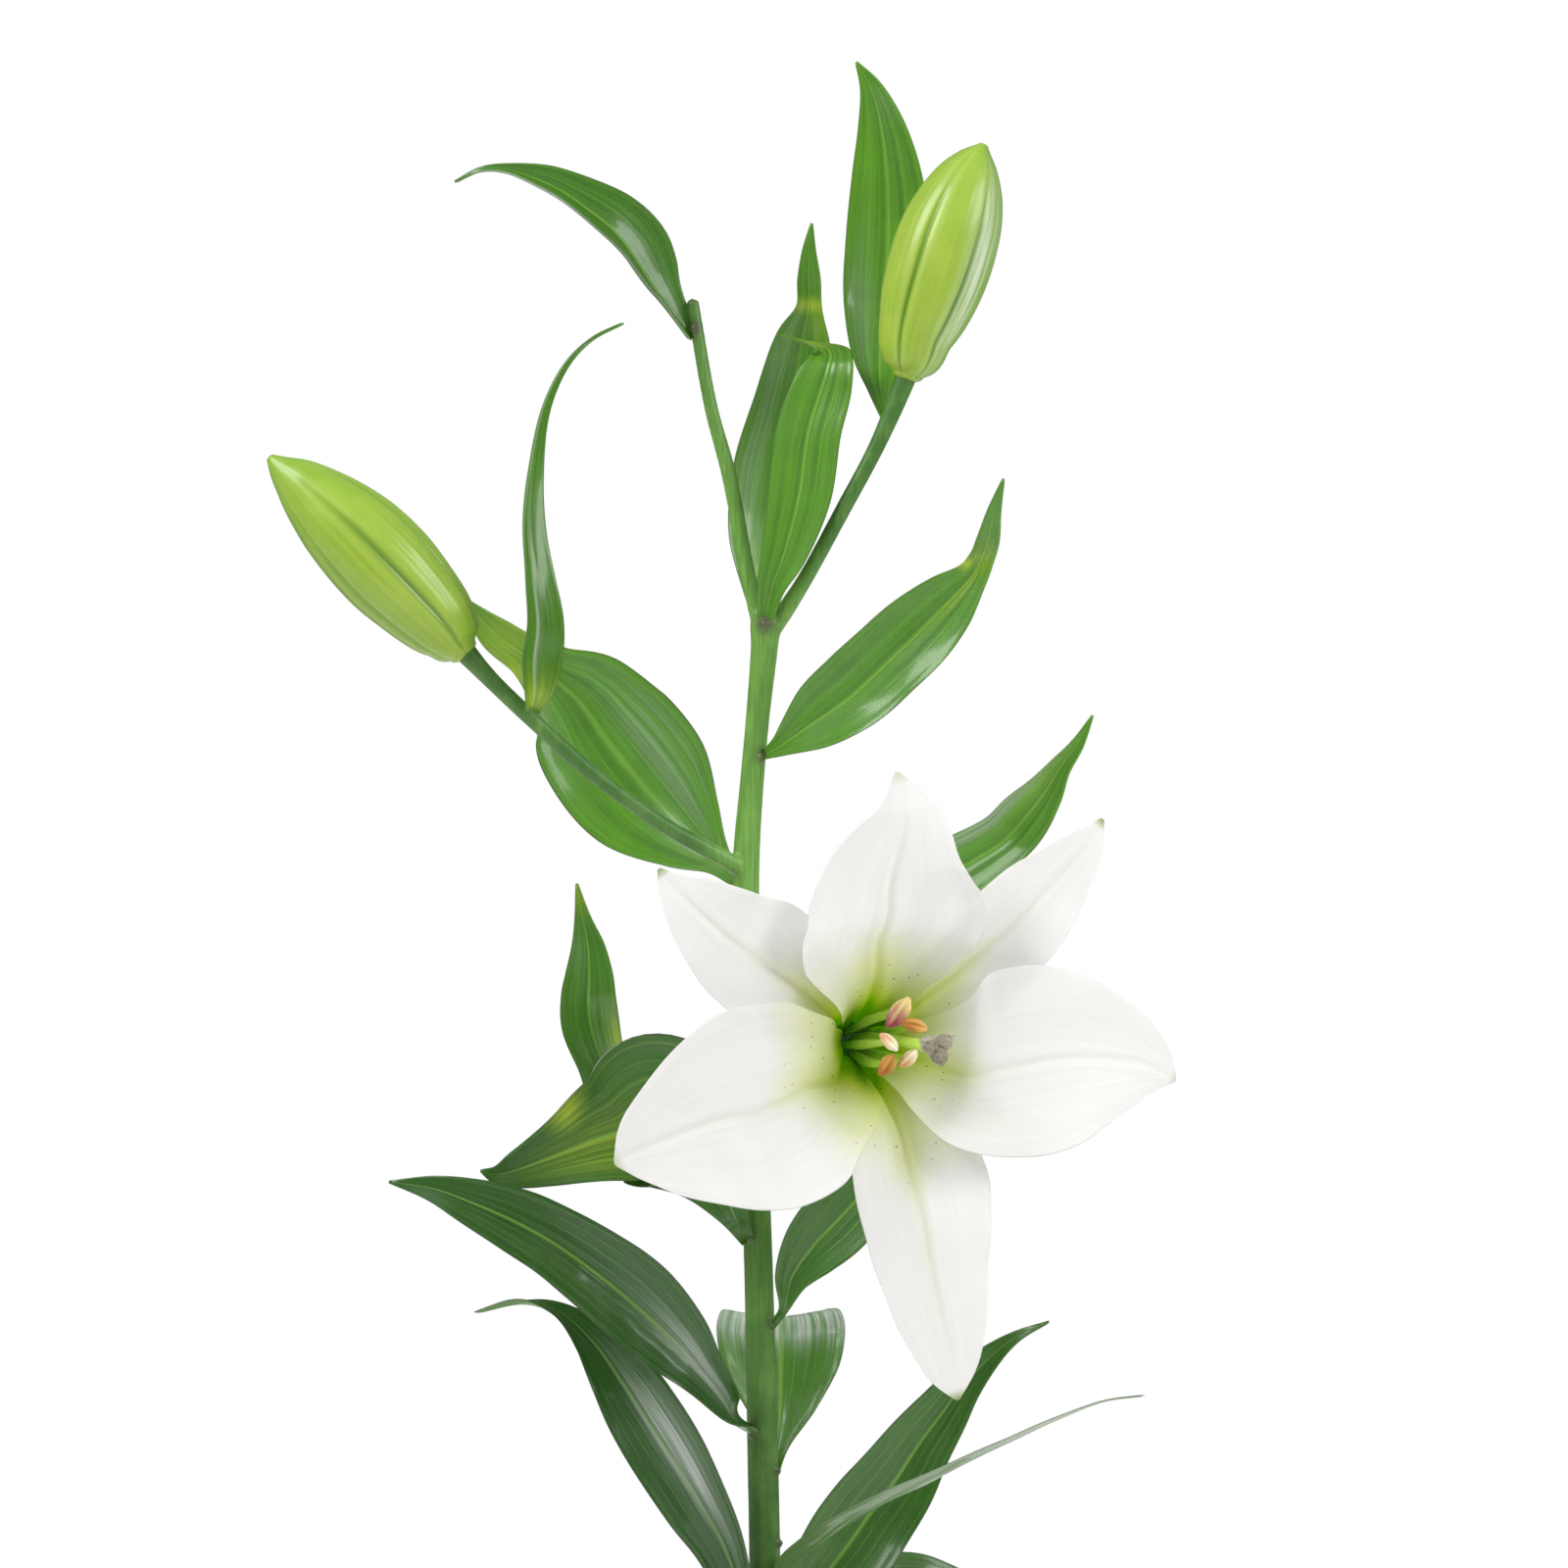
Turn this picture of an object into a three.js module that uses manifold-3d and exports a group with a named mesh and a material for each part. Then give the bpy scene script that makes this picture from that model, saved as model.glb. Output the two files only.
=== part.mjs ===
// A potted oriental lily: one leafy stem with two closed buds and an open white flower, in a plain clay pot.
// Units are millimetres, +Z is up, and the origin is the middle of the pot's flat underside.
// The plant is drawn as seen from the front, along +Y. Its places are [x, z, depth]: x and z are read on the
// plane of the stem, and depth is how far behind that plane (plus) or before it (minus) the place lies.
import * as THREE from "three";
import { mergeVertices } from "three/addons/utils/BufferGeometryUtils.js";
import Module from "manifold-3d";

const wasm = await Module();
wasm.setup();

// Driving dimensions
const GAP = 0.3; // clear space between two pieces that touch
const POT = { height: 130, foot: 48, lip: 73, wall: 4.5, floor: 7, rimDrop: 27, rimStep: 5 };
const DRAINS = { count: 5, radius: 4.5, ring: 28 }; // the holes in the pot's floor, and their circle
const SOIL_TOP = 114; // height of the soil's surface at the wall
const BULB = { foot: 24, top: 74, radius: 25 };
const EYE = { x: 5.7, z: 440, distance: 1600 }; // where the plant is looked at from
const FLOWER = { seat: [26, 365, -30], turn: 22, lift: 2 }; // the flower's foot, and where it faces
const LEAF_THICK = { middle: 1.2, margin: 0.7 };
const TEPAL_THICK = { middle: 1.1, margin: 0.7 };
const TEPAL_FOLD = 4; // degrees that each half of a tepal is folded up from its midrib
const NEAR = 0.004; // the share of a route to each side of a place that gives its direction there
const TEPAL_NEAR = 0.09; // the same for a tepal, where it is wide enough to smooth the bend out of the funnel
const COLOUR = {
  clay: 0xb5653f, soil: 0x3b2a20, bulb: 0xe8dcc0, stem: 0x6f9f55, leaf: 0x3f7d2e, bud: 0x9dbf48,
  tepal: 0xf6f6f2, pistil: 0x9dbb45, stigma: 0x8b7d74, filament: 0xa9c763,
};

const vec = (x, y, z) => new THREE.Vector3(x, y, z);
const radians = THREE.MathUtils.degToRad;

// The point seen at x, z on the stem's plane, moved along the line of sight to its own depth.
function sight(x, z, depth) {
  const share = (EYE.distance + depth) / EYE.distance;
  return vec(EYE.x + (x - EYE.x) * share, depth, EYE.z + (z - EYE.z) * share);
}

// A direction from two angles in degrees: turned to the right of the viewer, and lifted above level.
function facing(turn, lift) {
  const [a, e] = [radians(turn), radians(lift)];
  return vec(Math.sin(a) * Math.cos(e), -Math.cos(a) * Math.cos(e), Math.sin(e));
}

// Centripetal Catmull-Rom through rows of numbers, whose first three are a point, at share t of its course.
function along(rows, t) {
  const step = (a, b) => Math.max(1e-4, Math.hypot(a[0] - b[0], a[1] - b[1], a[2] - b[2]) ** 0.5);
  const mirror = (a, b) => a.map((n, i) => 2 * n - b[i]);
  const all = [mirror(rows[0], rows[1]), ...rows, mirror(rows.at(-1), rows.at(-2))];
  const knots = [0];
  for (let i = 1; i < rows.length; i++) knots.push(knots[i - 1] + step(rows[i], rows[i - 1]));
  const u = t * knots.at(-1);
  let k = 0;
  while (k < rows.length - 2 && u > knots[k + 1]) k++;
  const [a, b, c, d] = all.slice(k, k + 4);
  const [tb, tc] = [knots[k], knots[k + 1]];
  const [ta, td] = [tb - step(a, b), tc + step(c, d)];
  const mix = (p, q, tp, tq) => p.map((n, i) => (n * (tq - u) + q[i] * (u - tp)) / (tq - tp));
  const [ab, bc, cd] = [mix(a, b, ta, tb), mix(b, c, tb, tc), mix(c, d, tc, td)];
  return mix(mix(ab, bc, ta, tc), mix(bc, cd, tb, td), tb, tc);
}

// Straight steps through evenly spaced values, each a number or a row of numbers.
function evenly(values, t) {
  const s = t * (values.length - 1);
  const k = Math.min(values.length - 2, Math.floor(s));
  const mix = (a, b) => a + (b - a) * (s - k);
  const [from, to] = [values[k], values[k + 1]];
  return Array.isArray(from) ? from.map((n, i) => mix(n, to[i])) : mix(from, to);
}

function closedGeometry(points, triangles) {
  const g = new THREE.BufferGeometry();
  g.setAttribute("position", new THREE.Float32BufferAttribute(points.flatMap((p) => [p.x, p.y, p.z]), 3));
  return g.setIndex(triangles);
}

// The direction of rows of numbers at share t of their course, from a place just before to one just after.
function heading(rows, t, near = NEAR) {
  const [ahead, behind] = [along(rows, Math.min(1, t + near)), along(rows, Math.max(0, t - near))];
  return vec(ahead[0] - behind[0], ahead[1] - behind[1], ahead[2] - behind[2]).normalize();
}

// A leaf or petal: a thin closed sheet on rows of [x, y, z, half width, cup, facing x, y, z]. Its x, y, z is
// the place midway between the two margins, and half width is half the straight way from one to the other.
// Its section is an arc that turns by `cup` degrees from the midrib to the margin, and is folded at the
// midrib by `fold` degrees. Its margins wave `waves` times along it.
function blade(sheet, steps = 12, across = 4) {
  const { rows, fold = 8, wave = 0, waves = 2, thick = LEAF_THICK, near = NEAR } = sheet;
  const middle = [];
  const normals = [];
  for (let i = 0; i <= steps; i++) {
    const t = i / steps;
    const row = along(rows, t);
    const T = heading(rows, t, near);
    const N = vec(row[5], row[6], row[7]);
    N.addScaledVector(T, -N.dot(T)).normalize();
    const S = new THREE.Vector3().crossVectors(T, N);
    const half = Math.max(0.45, row[3]);
    const bend = Math.max(0.02, radians(row[4]));
    const crease = Math.tan(radians(fold));
    const arch = (v) => (half * (1 - Math.cos(bend * v))) / Math.sin(bend);
    const rise = (v) => arch(v) + crease * (Math.hypot(half * v, 1) - 1);
    for (let j = 0; j <= across; j++) {
      const v = -1 + (2 * j) / across;
      const side = (half * Math.sin(bend * v)) / Math.sin(bend);
      const phase = v > 0 ? 0 : 2;
      const swing = wave * v * v * Math.sin(2 * Math.PI * waves * t + phase) * Math.sin(Math.PI * t);
      const P = vec(row[0], row[1], row[2]).addScaledVector(S, side);
      middle.push(P.addScaledVector(N, rise(v) - rise(1) + swing));
      normals.push(N);
    }
  }
  const width = across + 1;
  const { clamp } = THREE.MathUtils;
  const at = (i, j) => middle[clamp(i, 0, steps) * width + clamp(j, 0, across)];
  const [upper, lower] = [[], []];
  for (let i = 0; i <= steps; i++)
    for (let j = 0; j <= across; j++) {
      const du = at(i + 1, j).clone().sub(at(i - 1, j));
      const dv = at(i, j + 1).clone().sub(at(i, j - 1));
      const out = dv.cross(du).normalize();
      if (out.dot(normals[i * width + j]) < 0.05) out.copy(normals[i * width + j]);
      const v = -1 + (2 * j) / across;
      const half = THREE.MathUtils.lerp(thick.middle, thick.margin, v * v) / 2;
      upper.push(at(i, j).clone().addScaledVector(out, half));
      lower.push(at(i, j).clone().addScaledVector(out, -half));
    }
  const [top, bottom] = [(i, j) => i * width + j, (i, j) => upper.length + i * width + j];
  const triangles = [];
  const wall = (a, b, c, d) => triangles.push(a, b, c, a, c, d);
  for (let i = 0; i < steps; i++)
    for (let j = 0; j < across; j++) {
      const q = [[i, j], [i, j + 1], [i + 1, j + 1], [i + 1, j]];
      const cuts = j < across / 2 ? [[1, 2, 3], [1, 3, 0]] : [[0, 1, 2], [0, 2, 3]];
      for (const cut of cuts) {
        triangles.push(...cut.map((k) => top(...q[k])));
        triangles.push(...cut.map((k) => bottom(...q[k])).reverse());
      }
    }
  for (let i = 0; i < steps; i++) {
    wall(top(i, 0), top(i + 1, 0), bottom(i + 1, 0), bottom(i, 0));
    wall(top(i + 1, across), top(i, across), bottom(i, across), bottom(i + 1, across));
  }
  for (let j = 0; j < across; j++) {
    wall(top(0, j + 1), top(0, j), bottom(0, j), bottom(0, j + 1));
    wall(top(steps, j), top(steps, j + 1), bottom(steps, j + 1), bottom(steps, j));
  }
  return closedGeometry([...upper, ...lower], triangles);
}

// A round body along rows of [x, y, z, radius]; `relief` gives its radius as a share at angle and height.
function tube(rows, { sides = 10, steps = 12, grow = 0, relief = () => 1, lean = vec(0, -1, 0) } = {}) {
  const points = [];
  const middles = [];
  let side = null;
  for (let i = 0; i <= steps; i++) {
    const t = i / steps;
    const row = along(rows, t);
    const T = heading(rows, t);
    side = (side ?? lean.clone()).addScaledVector(T, -(side ?? lean).dot(T)).normalize();
    const other = new THREE.Vector3().crossVectors(T, side);
    const onward = i === 0 ? -grow : i === steps ? grow : 0;
    middles.push(vec(row[0], row[1], row[2]).addScaledVector(T, onward));
    for (let j = 0; j < sides; j++) {
      const a = (2 * Math.PI * j) / sides;
      const r = (Math.max(0.3, row[3]) + grow) * relief(a, t);
      const P = middles[i].clone().addScaledVector(side, r * Math.cos(a));
      points.push(P.addScaledVector(other, r * Math.sin(a)));
    }
  }
  const triangles = [];
  const at = (i, j) => i * sides + (j % sides);
  for (let i = 0; i < steps; i++)
    for (let j = 0; j < sides; j++)
      triangles.push(at(i, j), at(i, j + 1), at(i + 1, j + 1), at(i, j), at(i + 1, j + 1), at(i + 1, j));
  points.push(middles[0], middles[steps]);
  for (let j = 0; j < sides; j++) {
    triangles.push(at(0, j + 1), at(0, j), points.length - 2);
    triangles.push(at(steps, j), at(steps, j + 1), points.length - 1);
  }
  return closedGeometry(points, triangles);
}

// three.js geometry to a solid that can be joined and cut, and back.
function solid(geometry) {
  const g = geometry.clone();
  g.deleteAttribute("normal");
  g.deleteAttribute("uv");
  const merged = mergeVertices(g, 1e-3);
  const vertProperties = new Float32Array(merged.attributes.position.array);
  const triVerts = new Uint32Array(merged.index.array);
  return new wasm.Manifold(new wasm.Mesh({ numProp: 3, vertProperties, triVerts }));
}

function geometryOf(body) {
  const mesh = body.getMesh();
  const g = new THREE.BufferGeometry();
  g.setAttribute("position", new THREE.BufferAttribute(new Float32Array(mesh.vertProperties), 3));
  return g.setIndex(new THREE.BufferAttribute(new Uint32Array(mesh.triVerts), 1));
}

const largest = (body) => body.decompose().sort((a, b) => b.volume() - a.volume())[0];
const joined = (geometries) => geometries.map(solid).reduce((a, b) => a.add(b));

const potted = new THREE.Group();
function piece(name, geometry, colour, roughness) {
  const material = new THREE.MeshStandardMaterial({ color: colour, roughness, metalness: 0 });
  const mesh = new THREE.Mesh(geometry, material);
  mesh.name = name;
  potted.add(mesh);
}

// The pot: a plain thrown clay pot with a rolled lip, and drain holes in its floor.
const innerRadius = (z) => {
  const slope = (POT.lip - POT.foot) / POT.height;
  return POT.foot + slope * z - POT.wall;
};

function potGeometry() {
  const { height, foot, lip, floor, rimDrop, rimStep } = POT;
  const ledge = height - rimDrop;
  const body = foot + ((lip - rimStep - foot) * ledge) / height;
  const outline = [
    [0, 0], [foot - 2, 0], [foot, 2], [body, ledge], [body + rimStep, ledge + 2],
    [lip, height - 3], [lip - 1.5, height], [innerRadius(height) + 1, height],
    [innerRadius(height - 1), height - 1.5],
    [innerRadius(floor + 3), floor + 3], [innerRadius(floor) - 3, floor], [0, floor],
  ];
  const turned = new THREE.LatheGeometry(outline.map(([r, z]) => new THREE.Vector2(r, z)), 48);
  let pot = solid(turned.rotateX(Math.PI / 2));
  for (let i = 0; i < DRAINS.count; i++) {
    const angle = ((i + 0.5) * 2 * Math.PI) / DRAINS.count;
    const drain = new THREE.CylinderGeometry(DRAINS.radius, DRAINS.radius, 3 * floor, 12);
    drain.rotateX(Math.PI / 2);
    drain.translate(DRAINS.ring * Math.cos(angle), DRAINS.ring * Math.sin(angle), 0);
    pot = pot.subtract(solid(drain));
  }
  return geometryOf(pot);
}

// The stem and its side stalks, as [x, z, depth, radius] from the bulb upwards.
const stemRoute = [
  [0, BULB.top + GAP, 0, 4.6], [0, 150, 0, 4.9], [0.1, 212, 0, 4.6], [-0.6, 250, 0, 4.5],
  [-1.9, 305, 0, 4.2], [-4, 360, 0, 4.1], [-5.4, 400, 0, 4], [-5.2, 420, 0, 3.9],
  [-3.6, 441, 0, 3.5], [-1.8, 461, 0, 3.5], [0, 480, 0, 4], [0.4, 488, 0, 4.3], [0.4, 491, 0, 2.4],
];
const stalkRoutes = [
  [
    [1, 483, 0, 2.6], [6, 490.5, -1, 2.6], [12, 500, -3, 2.3], [22.9, 520, -6, 2.3], [33, 539, -7, 2.4],
    [40.6, 557, -8, 3.1], [41.7, 560.4, -8, 3.3],
  ],
  [[-1, 484, 1, 2.2], [-4.6, 500, 1, 2.2], [-10.3, 530, 0, 2.2], [-15.6, 550, -1, 2], [-21, 580.5, -2, 1.9]],
  [
    [-4.5, 414, 0, 2.6], [-14, 419.5, -5, 2.6], [-30, 428.5, -9, 2.3], [-50, 443, -12, 2.3],
    [-70, 461, -13, 2.4], [-81, 471.7, -13, 2.6], [-88.2, 479.6, -13, 3.4],
  ],
  [
    [-4, 350, 0, 2.8], [1, 358, -5, 2.9], [9, 363.6, -11, 2.9], [18.6, 364.9, -18.4, 3.2],
    [23.6, 365, -25.4, 4.6], [25.4, 365, -29, 7.6],
  ],
];
const placed = ([x, z, depth, ...rest]) => [...sight(x, z, depth).toArray(), ...rest];

function stemSolid(grow) {
  const main = tube(stemRoute.map(placed), { sides: 12, steps: 26, grow });
  const stalks = stalkRoutes.map((route) => tube(route.map(placed), { sides: 8, steps: 10, grow }));
  return joined([main, ...stalks]);
}
const stem = stemSolid(0);
const stemClear = stemSolid(GAP);

// The leaves, from the top down. Stations are [x, z, depth, half width] from the root to the tip. `face` is
// where the upper side looks, evenly along the leaf: degrees to the right of the viewer, and above level.
const leaves = [
  { name: "leaf_01", face: [[0, 0], [-8, 8]], cup: [45, 15], fold: 6,
    stations: [[36, 546, -7, 1.6], [34, 555, 0, 3.8], [33.6, 566, 10.5, 8.5], [34.8, 582, 18, 12],
      [36, 600, 19.5, 12.4], [35.6, 618, 17, 10.3], [34, 632, 14.5, 7], [31, 643, 11.5, 3.4],
      [26.8, 650.5, 10.5, 0.4]] },
  { name: "leaf_02", face: [[25, 50], [15, 40], [10, 30]], cup: [60, 30], fold: 14,
    stations: [[-20.3, 570, -2, 1.8], [-25, 579.5, -5, 4.6], [-28.5, 587.5, -9, 8.2],
      [-34, 597.3, -13, 10.4], [-42.5, 605.8, -15, 9.6], [-53, 612.3, -14, 7.2], [-64, 617, -12, 4.8],
      [-75, 619.7, -10, 2], [-83, 619.2, -9, 0.9], [-90.3, 615.6, -8, 0.4]] },
  { name: "leaf_03",
    face: [[0, 0], [0, 0], [0, 5], [0, 10], [-10, 75], [-10, 80]],
    cup: [55, 18, 10, 5], fold: 4,
    stations: [[0, 486, -3.5, 2], [2, 497, -7, 4], [5.7, 507, -9, 6.6], [10.2, 524, -10, 9.2],
      [13, 543, -10, 9.4], [17, 556, -9, 8.6], [19, 563, -7.5, 7], [19, 566.6, -3.5, 5.4],
      [14, 568.4, -1, 3], [4, 571, -2, 0.4]] },
  { name: "leaf_04", face: [[0, 5], [5, 5]], cup: [50, 10], fold: 8,
    stations: [[0, 486, 2, 2], [-1.5, 497, 14.5, 5], [0, 510, 18, 10.5], [3, 530, 20, 12.6],
      [7.6, 550, 20, 11.2], [11.3, 570, 16, 8], [13, 579, 14.5, 3.9], [13, 587, 12.5, 3.5],
      [13, 595, 11, 2.2], [13.8, 603.5, 9, 0.4]] },
  { name: "leaf_05", face: [[35, 10], [42, 5], [62, 0], [78, 0], [84, 10]], cup: [60, 25], fold: 6,
    stations: [[-68, 459, -12, 1.6], [-65.5, 466, -17, 5], [-64.6, 476, -20, 7.4], [-63.6, 487, -22, 7],
      [-65, 500, -22, 6.6], [-66.5, 514, -20, 6.2], [-66, 531, -17, 4.6], [-63.4, 549, -15, 2.8],
      [-57, 562.5, -14, 1.6], [-50, 569.7, -13, 0.8], [-41, 574.3, -12, 0.4]] },
  { name: "leaf_06", face: [[5, 25], [0, 10], [-10, 5]], cup: [40, 12], fold: 6,
    stations: [[-0.5, 448.5, -3, 1.6], [5, 452.3, -11, 4.4], [15, 459.8, -20, 10],
      [25.5, 467.2, -26, 11.8], [35.5, 476, -30, 11.7], [45, 484.8, -32.5, 11.2], [54, 493.6, -34, 8.6],
      [60.6, 500.8, -35, 4.8], [63.4, 505.8, -36, 3.7], [65.2, 511, -39, 3.4], [67, 519.5, -42.5, 2.1],
      [69.7, 529, -46, 0.4]] },
  { name: "leaf_07", face: [[-5, 0], [0, 5], [0, 10]], cup: [40, 10], fold: 5,
    stations: [[-8.5, 412, 1, 2], [-14, 418, 12, 5], [-21.4, 424.8, 18, 12], [-33, 437, 24, 21],
      [-46.1, 453.5, 28, 21.6], [-54, 464.5, 30, 17], [-62.5, 471.8, 30, 10], [-69, 477, 28, 6.6],
      [-79.3, 484.4, 22, 5], [-88.3, 494.6, 16, 0.4]] },
  { name: "leaf_08", face: [[0, 10], [0, 20]], cup: [40, 10], fold: 6,
    stations: [[-4.5, 386, 2, 1.8], [8, 391, 18, 6], [28, 400.5, 29, 10], [50, 412, 32.5, 10.4],
      [69.5, 423.6, 32.5, 8.6], [76, 430.5, 30.5, 8.1], [81.2, 437, 29, 6.1], [86.2, 444.8, 27, 3.5],
      [91.2, 451.5, 25, 2.1], [95.7, 460, 23.5, 0.4]] },
  { name: "leaf_09", face: [[-10, 0], [-10, 5], [0, 10], [0, 15], [0, 5]], cup: [40, 20], fold: 8,
    stations: [[-5.5, 346, 2, 1.8], [-18, 343.5, 15, 4.4], [-33, 344, 23, 6.4], [-43.6, 350.5, 23, 7.4],
      [-47.6, 359.5, 19, 7.4], [-50.7, 370, 15, 8.6], [-51.3, 377.5, 13.5, 8.2], [-51.1, 384, 13.5, 7.2],
      [-51.4, 392, 15, 5.2], [-53, 401, 17, 2.5], [-54.7, 411, 19, 0.4]] },
  { name: "leaf_10", face: [[-10, 10], [-10, 15], [-5, 15], [0, 5], [5, 0]],
    cup: [35, 30, 10], fold: 4, steps: 18,
    stations: [[-4.5, 306, -3, 2], [-9, 314, -13.5, 4.6], [-15, 328, -17, 14], [-25, 340, -17, 21.6],
      [-33, 345, -17, 22.6], [-41.5, 340.4, -19, 18], [-48.5, 337.6, -21, 14.8], [-57, 333.6, -23, 10.8],
      [-65.3, 330, -24.5, 7.8], [-73, 327.2, -26.5, 5.2], [-78.7, 326, -28.5, 2.6],
      [-82.8, 327.3, -28.5, 0.4]] },
  { name: "leaf_11", face: [[-25, 35], [-15, 30], [-5, 20], [0, 10]], cup: [60, 30, 10], fold: 8,
    stations: [[-2.5, 252, -4, 2.2], [-9, 257.5, -14.5, 4.2], [-17.5, 267.8, -22.5, 7],
      [-26, 277.8, -27, 10.8], [-37.5, 289.3, -32, 12.8], [-49, 298.4, -35, 12],
      [-60.5, 306.3, -37, 10.6], [-72.5, 312.8, -37, 9.4], [-85.5, 318.3, -35, 6.9],
      [-96.5, 322, -32, 3.9], [-109.5, 324, -29, 0.4]] },
  { name: "leaf_12", face: [[15, 10], [0, 5], [0, 15]], cup: [50, 15], fold: 8,
    stations: [[1, 281, -2, 1.4], [5.5, 286.5, -8, 1.4], [8.2, 296, -11, 5.4], [13.8, 304.5, -14.5, 9],
      [22, 313.5, -16, 10.6], [33, 326, -16, 9], [43, 338, -14.5, 5], [50, 347, -13, 0.4]] },
  { name: "leaf_13",
    face: [[0, 0], [0, 5], [0, 30], [0, 80], [0, 100], [0, 105]],
    cup: [45, 12, 8], fold: 4,
    stations: [[2, 237, 3, 1.6], [3.6, 247, 8, 3.6], [4.6, 258, 12, 10.4], [4.8, 270, 15, 17],
      [4.8, 280.5, 19, 19], [4.6, 286, 27, 18], [4, 286.5, 42, 15], [3, 282, 58, 11], [2, 273, 76, 6],
      [1, 260, 92, 0.4]] },
  { name: "leaf_14",
    face: [[-30, 30], [-32, 34], [-25, 40], [-10, 50], [160, 60]],
    cup: [50, 30, 20], fold: 8,
    stations: [[-3.2, 190, -2, 2], [-8, 204, -8, 5.4], [-13.8, 218.3, -12, 8.2], [-20, 229.8, -15, 9.9],
      [-27.5, 243.3, -17, 11], [-35, 255.8, -18, 10.8], [-41.7, 267, -18, 9.4], [-50, 278.6, -17, 6.4],
      [-60, 287, -15, 3.4], [-70, 289.6, -13, 2.6], [-84.5, 286, -10, 0.4]] },
  { name: "leaf_15",
    face: [[10, 50], [5, 84], [0, 96], [0, 97], [0, 97], [0, 97]],
    cup: [45, 10, 5, 5], fold: 2,
    stations: [[2.5, 209, -3.5, 2], [8, 215.5, -12, 6], [16, 221.3, -22, 7.6], [26, 227.5, -31, 8.4],
      [38, 233.6, -39, 8.6], [55, 241.4, -46, 7.8], [70, 248.4, -50, 6.2], [85, 255.2, -53, 4.2],
      [98, 260, -54, 2], [111, 261.8, -53, 0.4]] },
  { name: "leaf_16", face: [[10, 5], [0, 0], [-5, 5], [-20, 35]], cup: [45, 15], fold: 6,
    stations: [[1.5, 183, 2, 2], [7, 194, 12, 5.4], [15.5, 205.5, 17, 11], [24, 216.5, 19, 13.8],
      [31, 226.8, 21.5, 13.6], [37.8, 236, 21.5, 12.4], [44.8, 247, 21.5, 10.2], [51.3, 256, 21.5, 8.3],
      [57.5, 264.5, 21.5, 6.2], [66.6, 273.8, 19, 3.5], [74, 279.2, 17, 1.8], [83, 283.3, 14.5, 0.4]] },
  { name: "leaf_17", face: [[20, 30], [10, 40], [10, 55], [20, 60]], cup: [45, 15], fold: 8,
    stations: [[1, 168, 3, 2], [8, 182, 12, 6], [22, 199, 24, 10.4], [40, 207.5, 32, 11.6],
      [60, 202.5, 36, 10], [82, 189, 37, 6], [104, 170, 36, 0.4]] },
  { name: "leaf_18", face: [[-20, 40], [-15, 60], [-20, 50]], cup: [45, 15], fold: 8,
    stations: [[-1.5, 160, -4, 2], [-10, 169, -20, 6.4], [-26, 177, -44, 11], [-44, 174, -68, 11],
      [-62, 160, -88, 7], [-78, 140, -102, 0.4]] },
  { name: "leaf_19", face: [[-50, 50], [-60, 70], [-60, 60]], cup: [45, 15], fold: 8,
    stations: [[-3, 148, 3, 2], [-17, 160, 14, 6.4], [-39, 170, 26, 11], [-64, 168, 38, 10.4],
      [-88, 154, 46, 6.4], [-106, 134, 50, 0.4]] },
  { name: "leaf_20", face: [[170, 50], [170, 70], [170, 60]], cup: [45, 15], fold: 8,
    stations: [[1, 156, 4, 2], [9, 168, 20, 6.4], [18, 176, 44, 11.4], [26, 172, 70, 10.6],
      [30, 156, 94, 6], [31, 137, 110, 0.4]] },
  { name: "leaf_21", face: [[40, 45], [50, 66], [50, 60]], cup: [45, 15], fold: 8,
    stations: [[3, 140, -3, 2], [16, 152, -14, 6.4], [38, 161, -30, 11.2], [62, 157, -46, 10.6],
      [84, 142, -58, 6], [100, 122, -66, 0.4]] },
];

// Stations with the facing spread evenly over them, ready for a blade.
function loft({ stations, face, cup }) {
  return stations.map(([x, z, depth, half], i) => {
    const t = i / (stations.length - 1);
    return [...sight(x, z, depth).toArray(), half, evenly(cup, t), ...facing(...evenly(face, t)).toArray()];
  });
}

// The flower's own frame: its axis runs out of its foot to where it faces.
const seat = sight(...FLOWER.seat);
const axis = facing(FLOWER.turn, FLOWER.lift);
const toRight = new THREE.Vector3().crossVectors(axis, vec(0, 0, 1)).negate().normalize();
const toTop = new THREE.Vector3().crossVectors(toRight, axis).negate().normalize();
function spoke(angle) {
  const across = toRight.clone().multiplyScalar(Math.cos(radians(angle)));
  return across.addScaledVector(toTop, Math.sin(radians(angle)));
}
function inFlower(out, radius, angle) {
  return seat.clone().addScaledVector(axis, out).addScaledVector(spoke(angle), radius);
}

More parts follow.
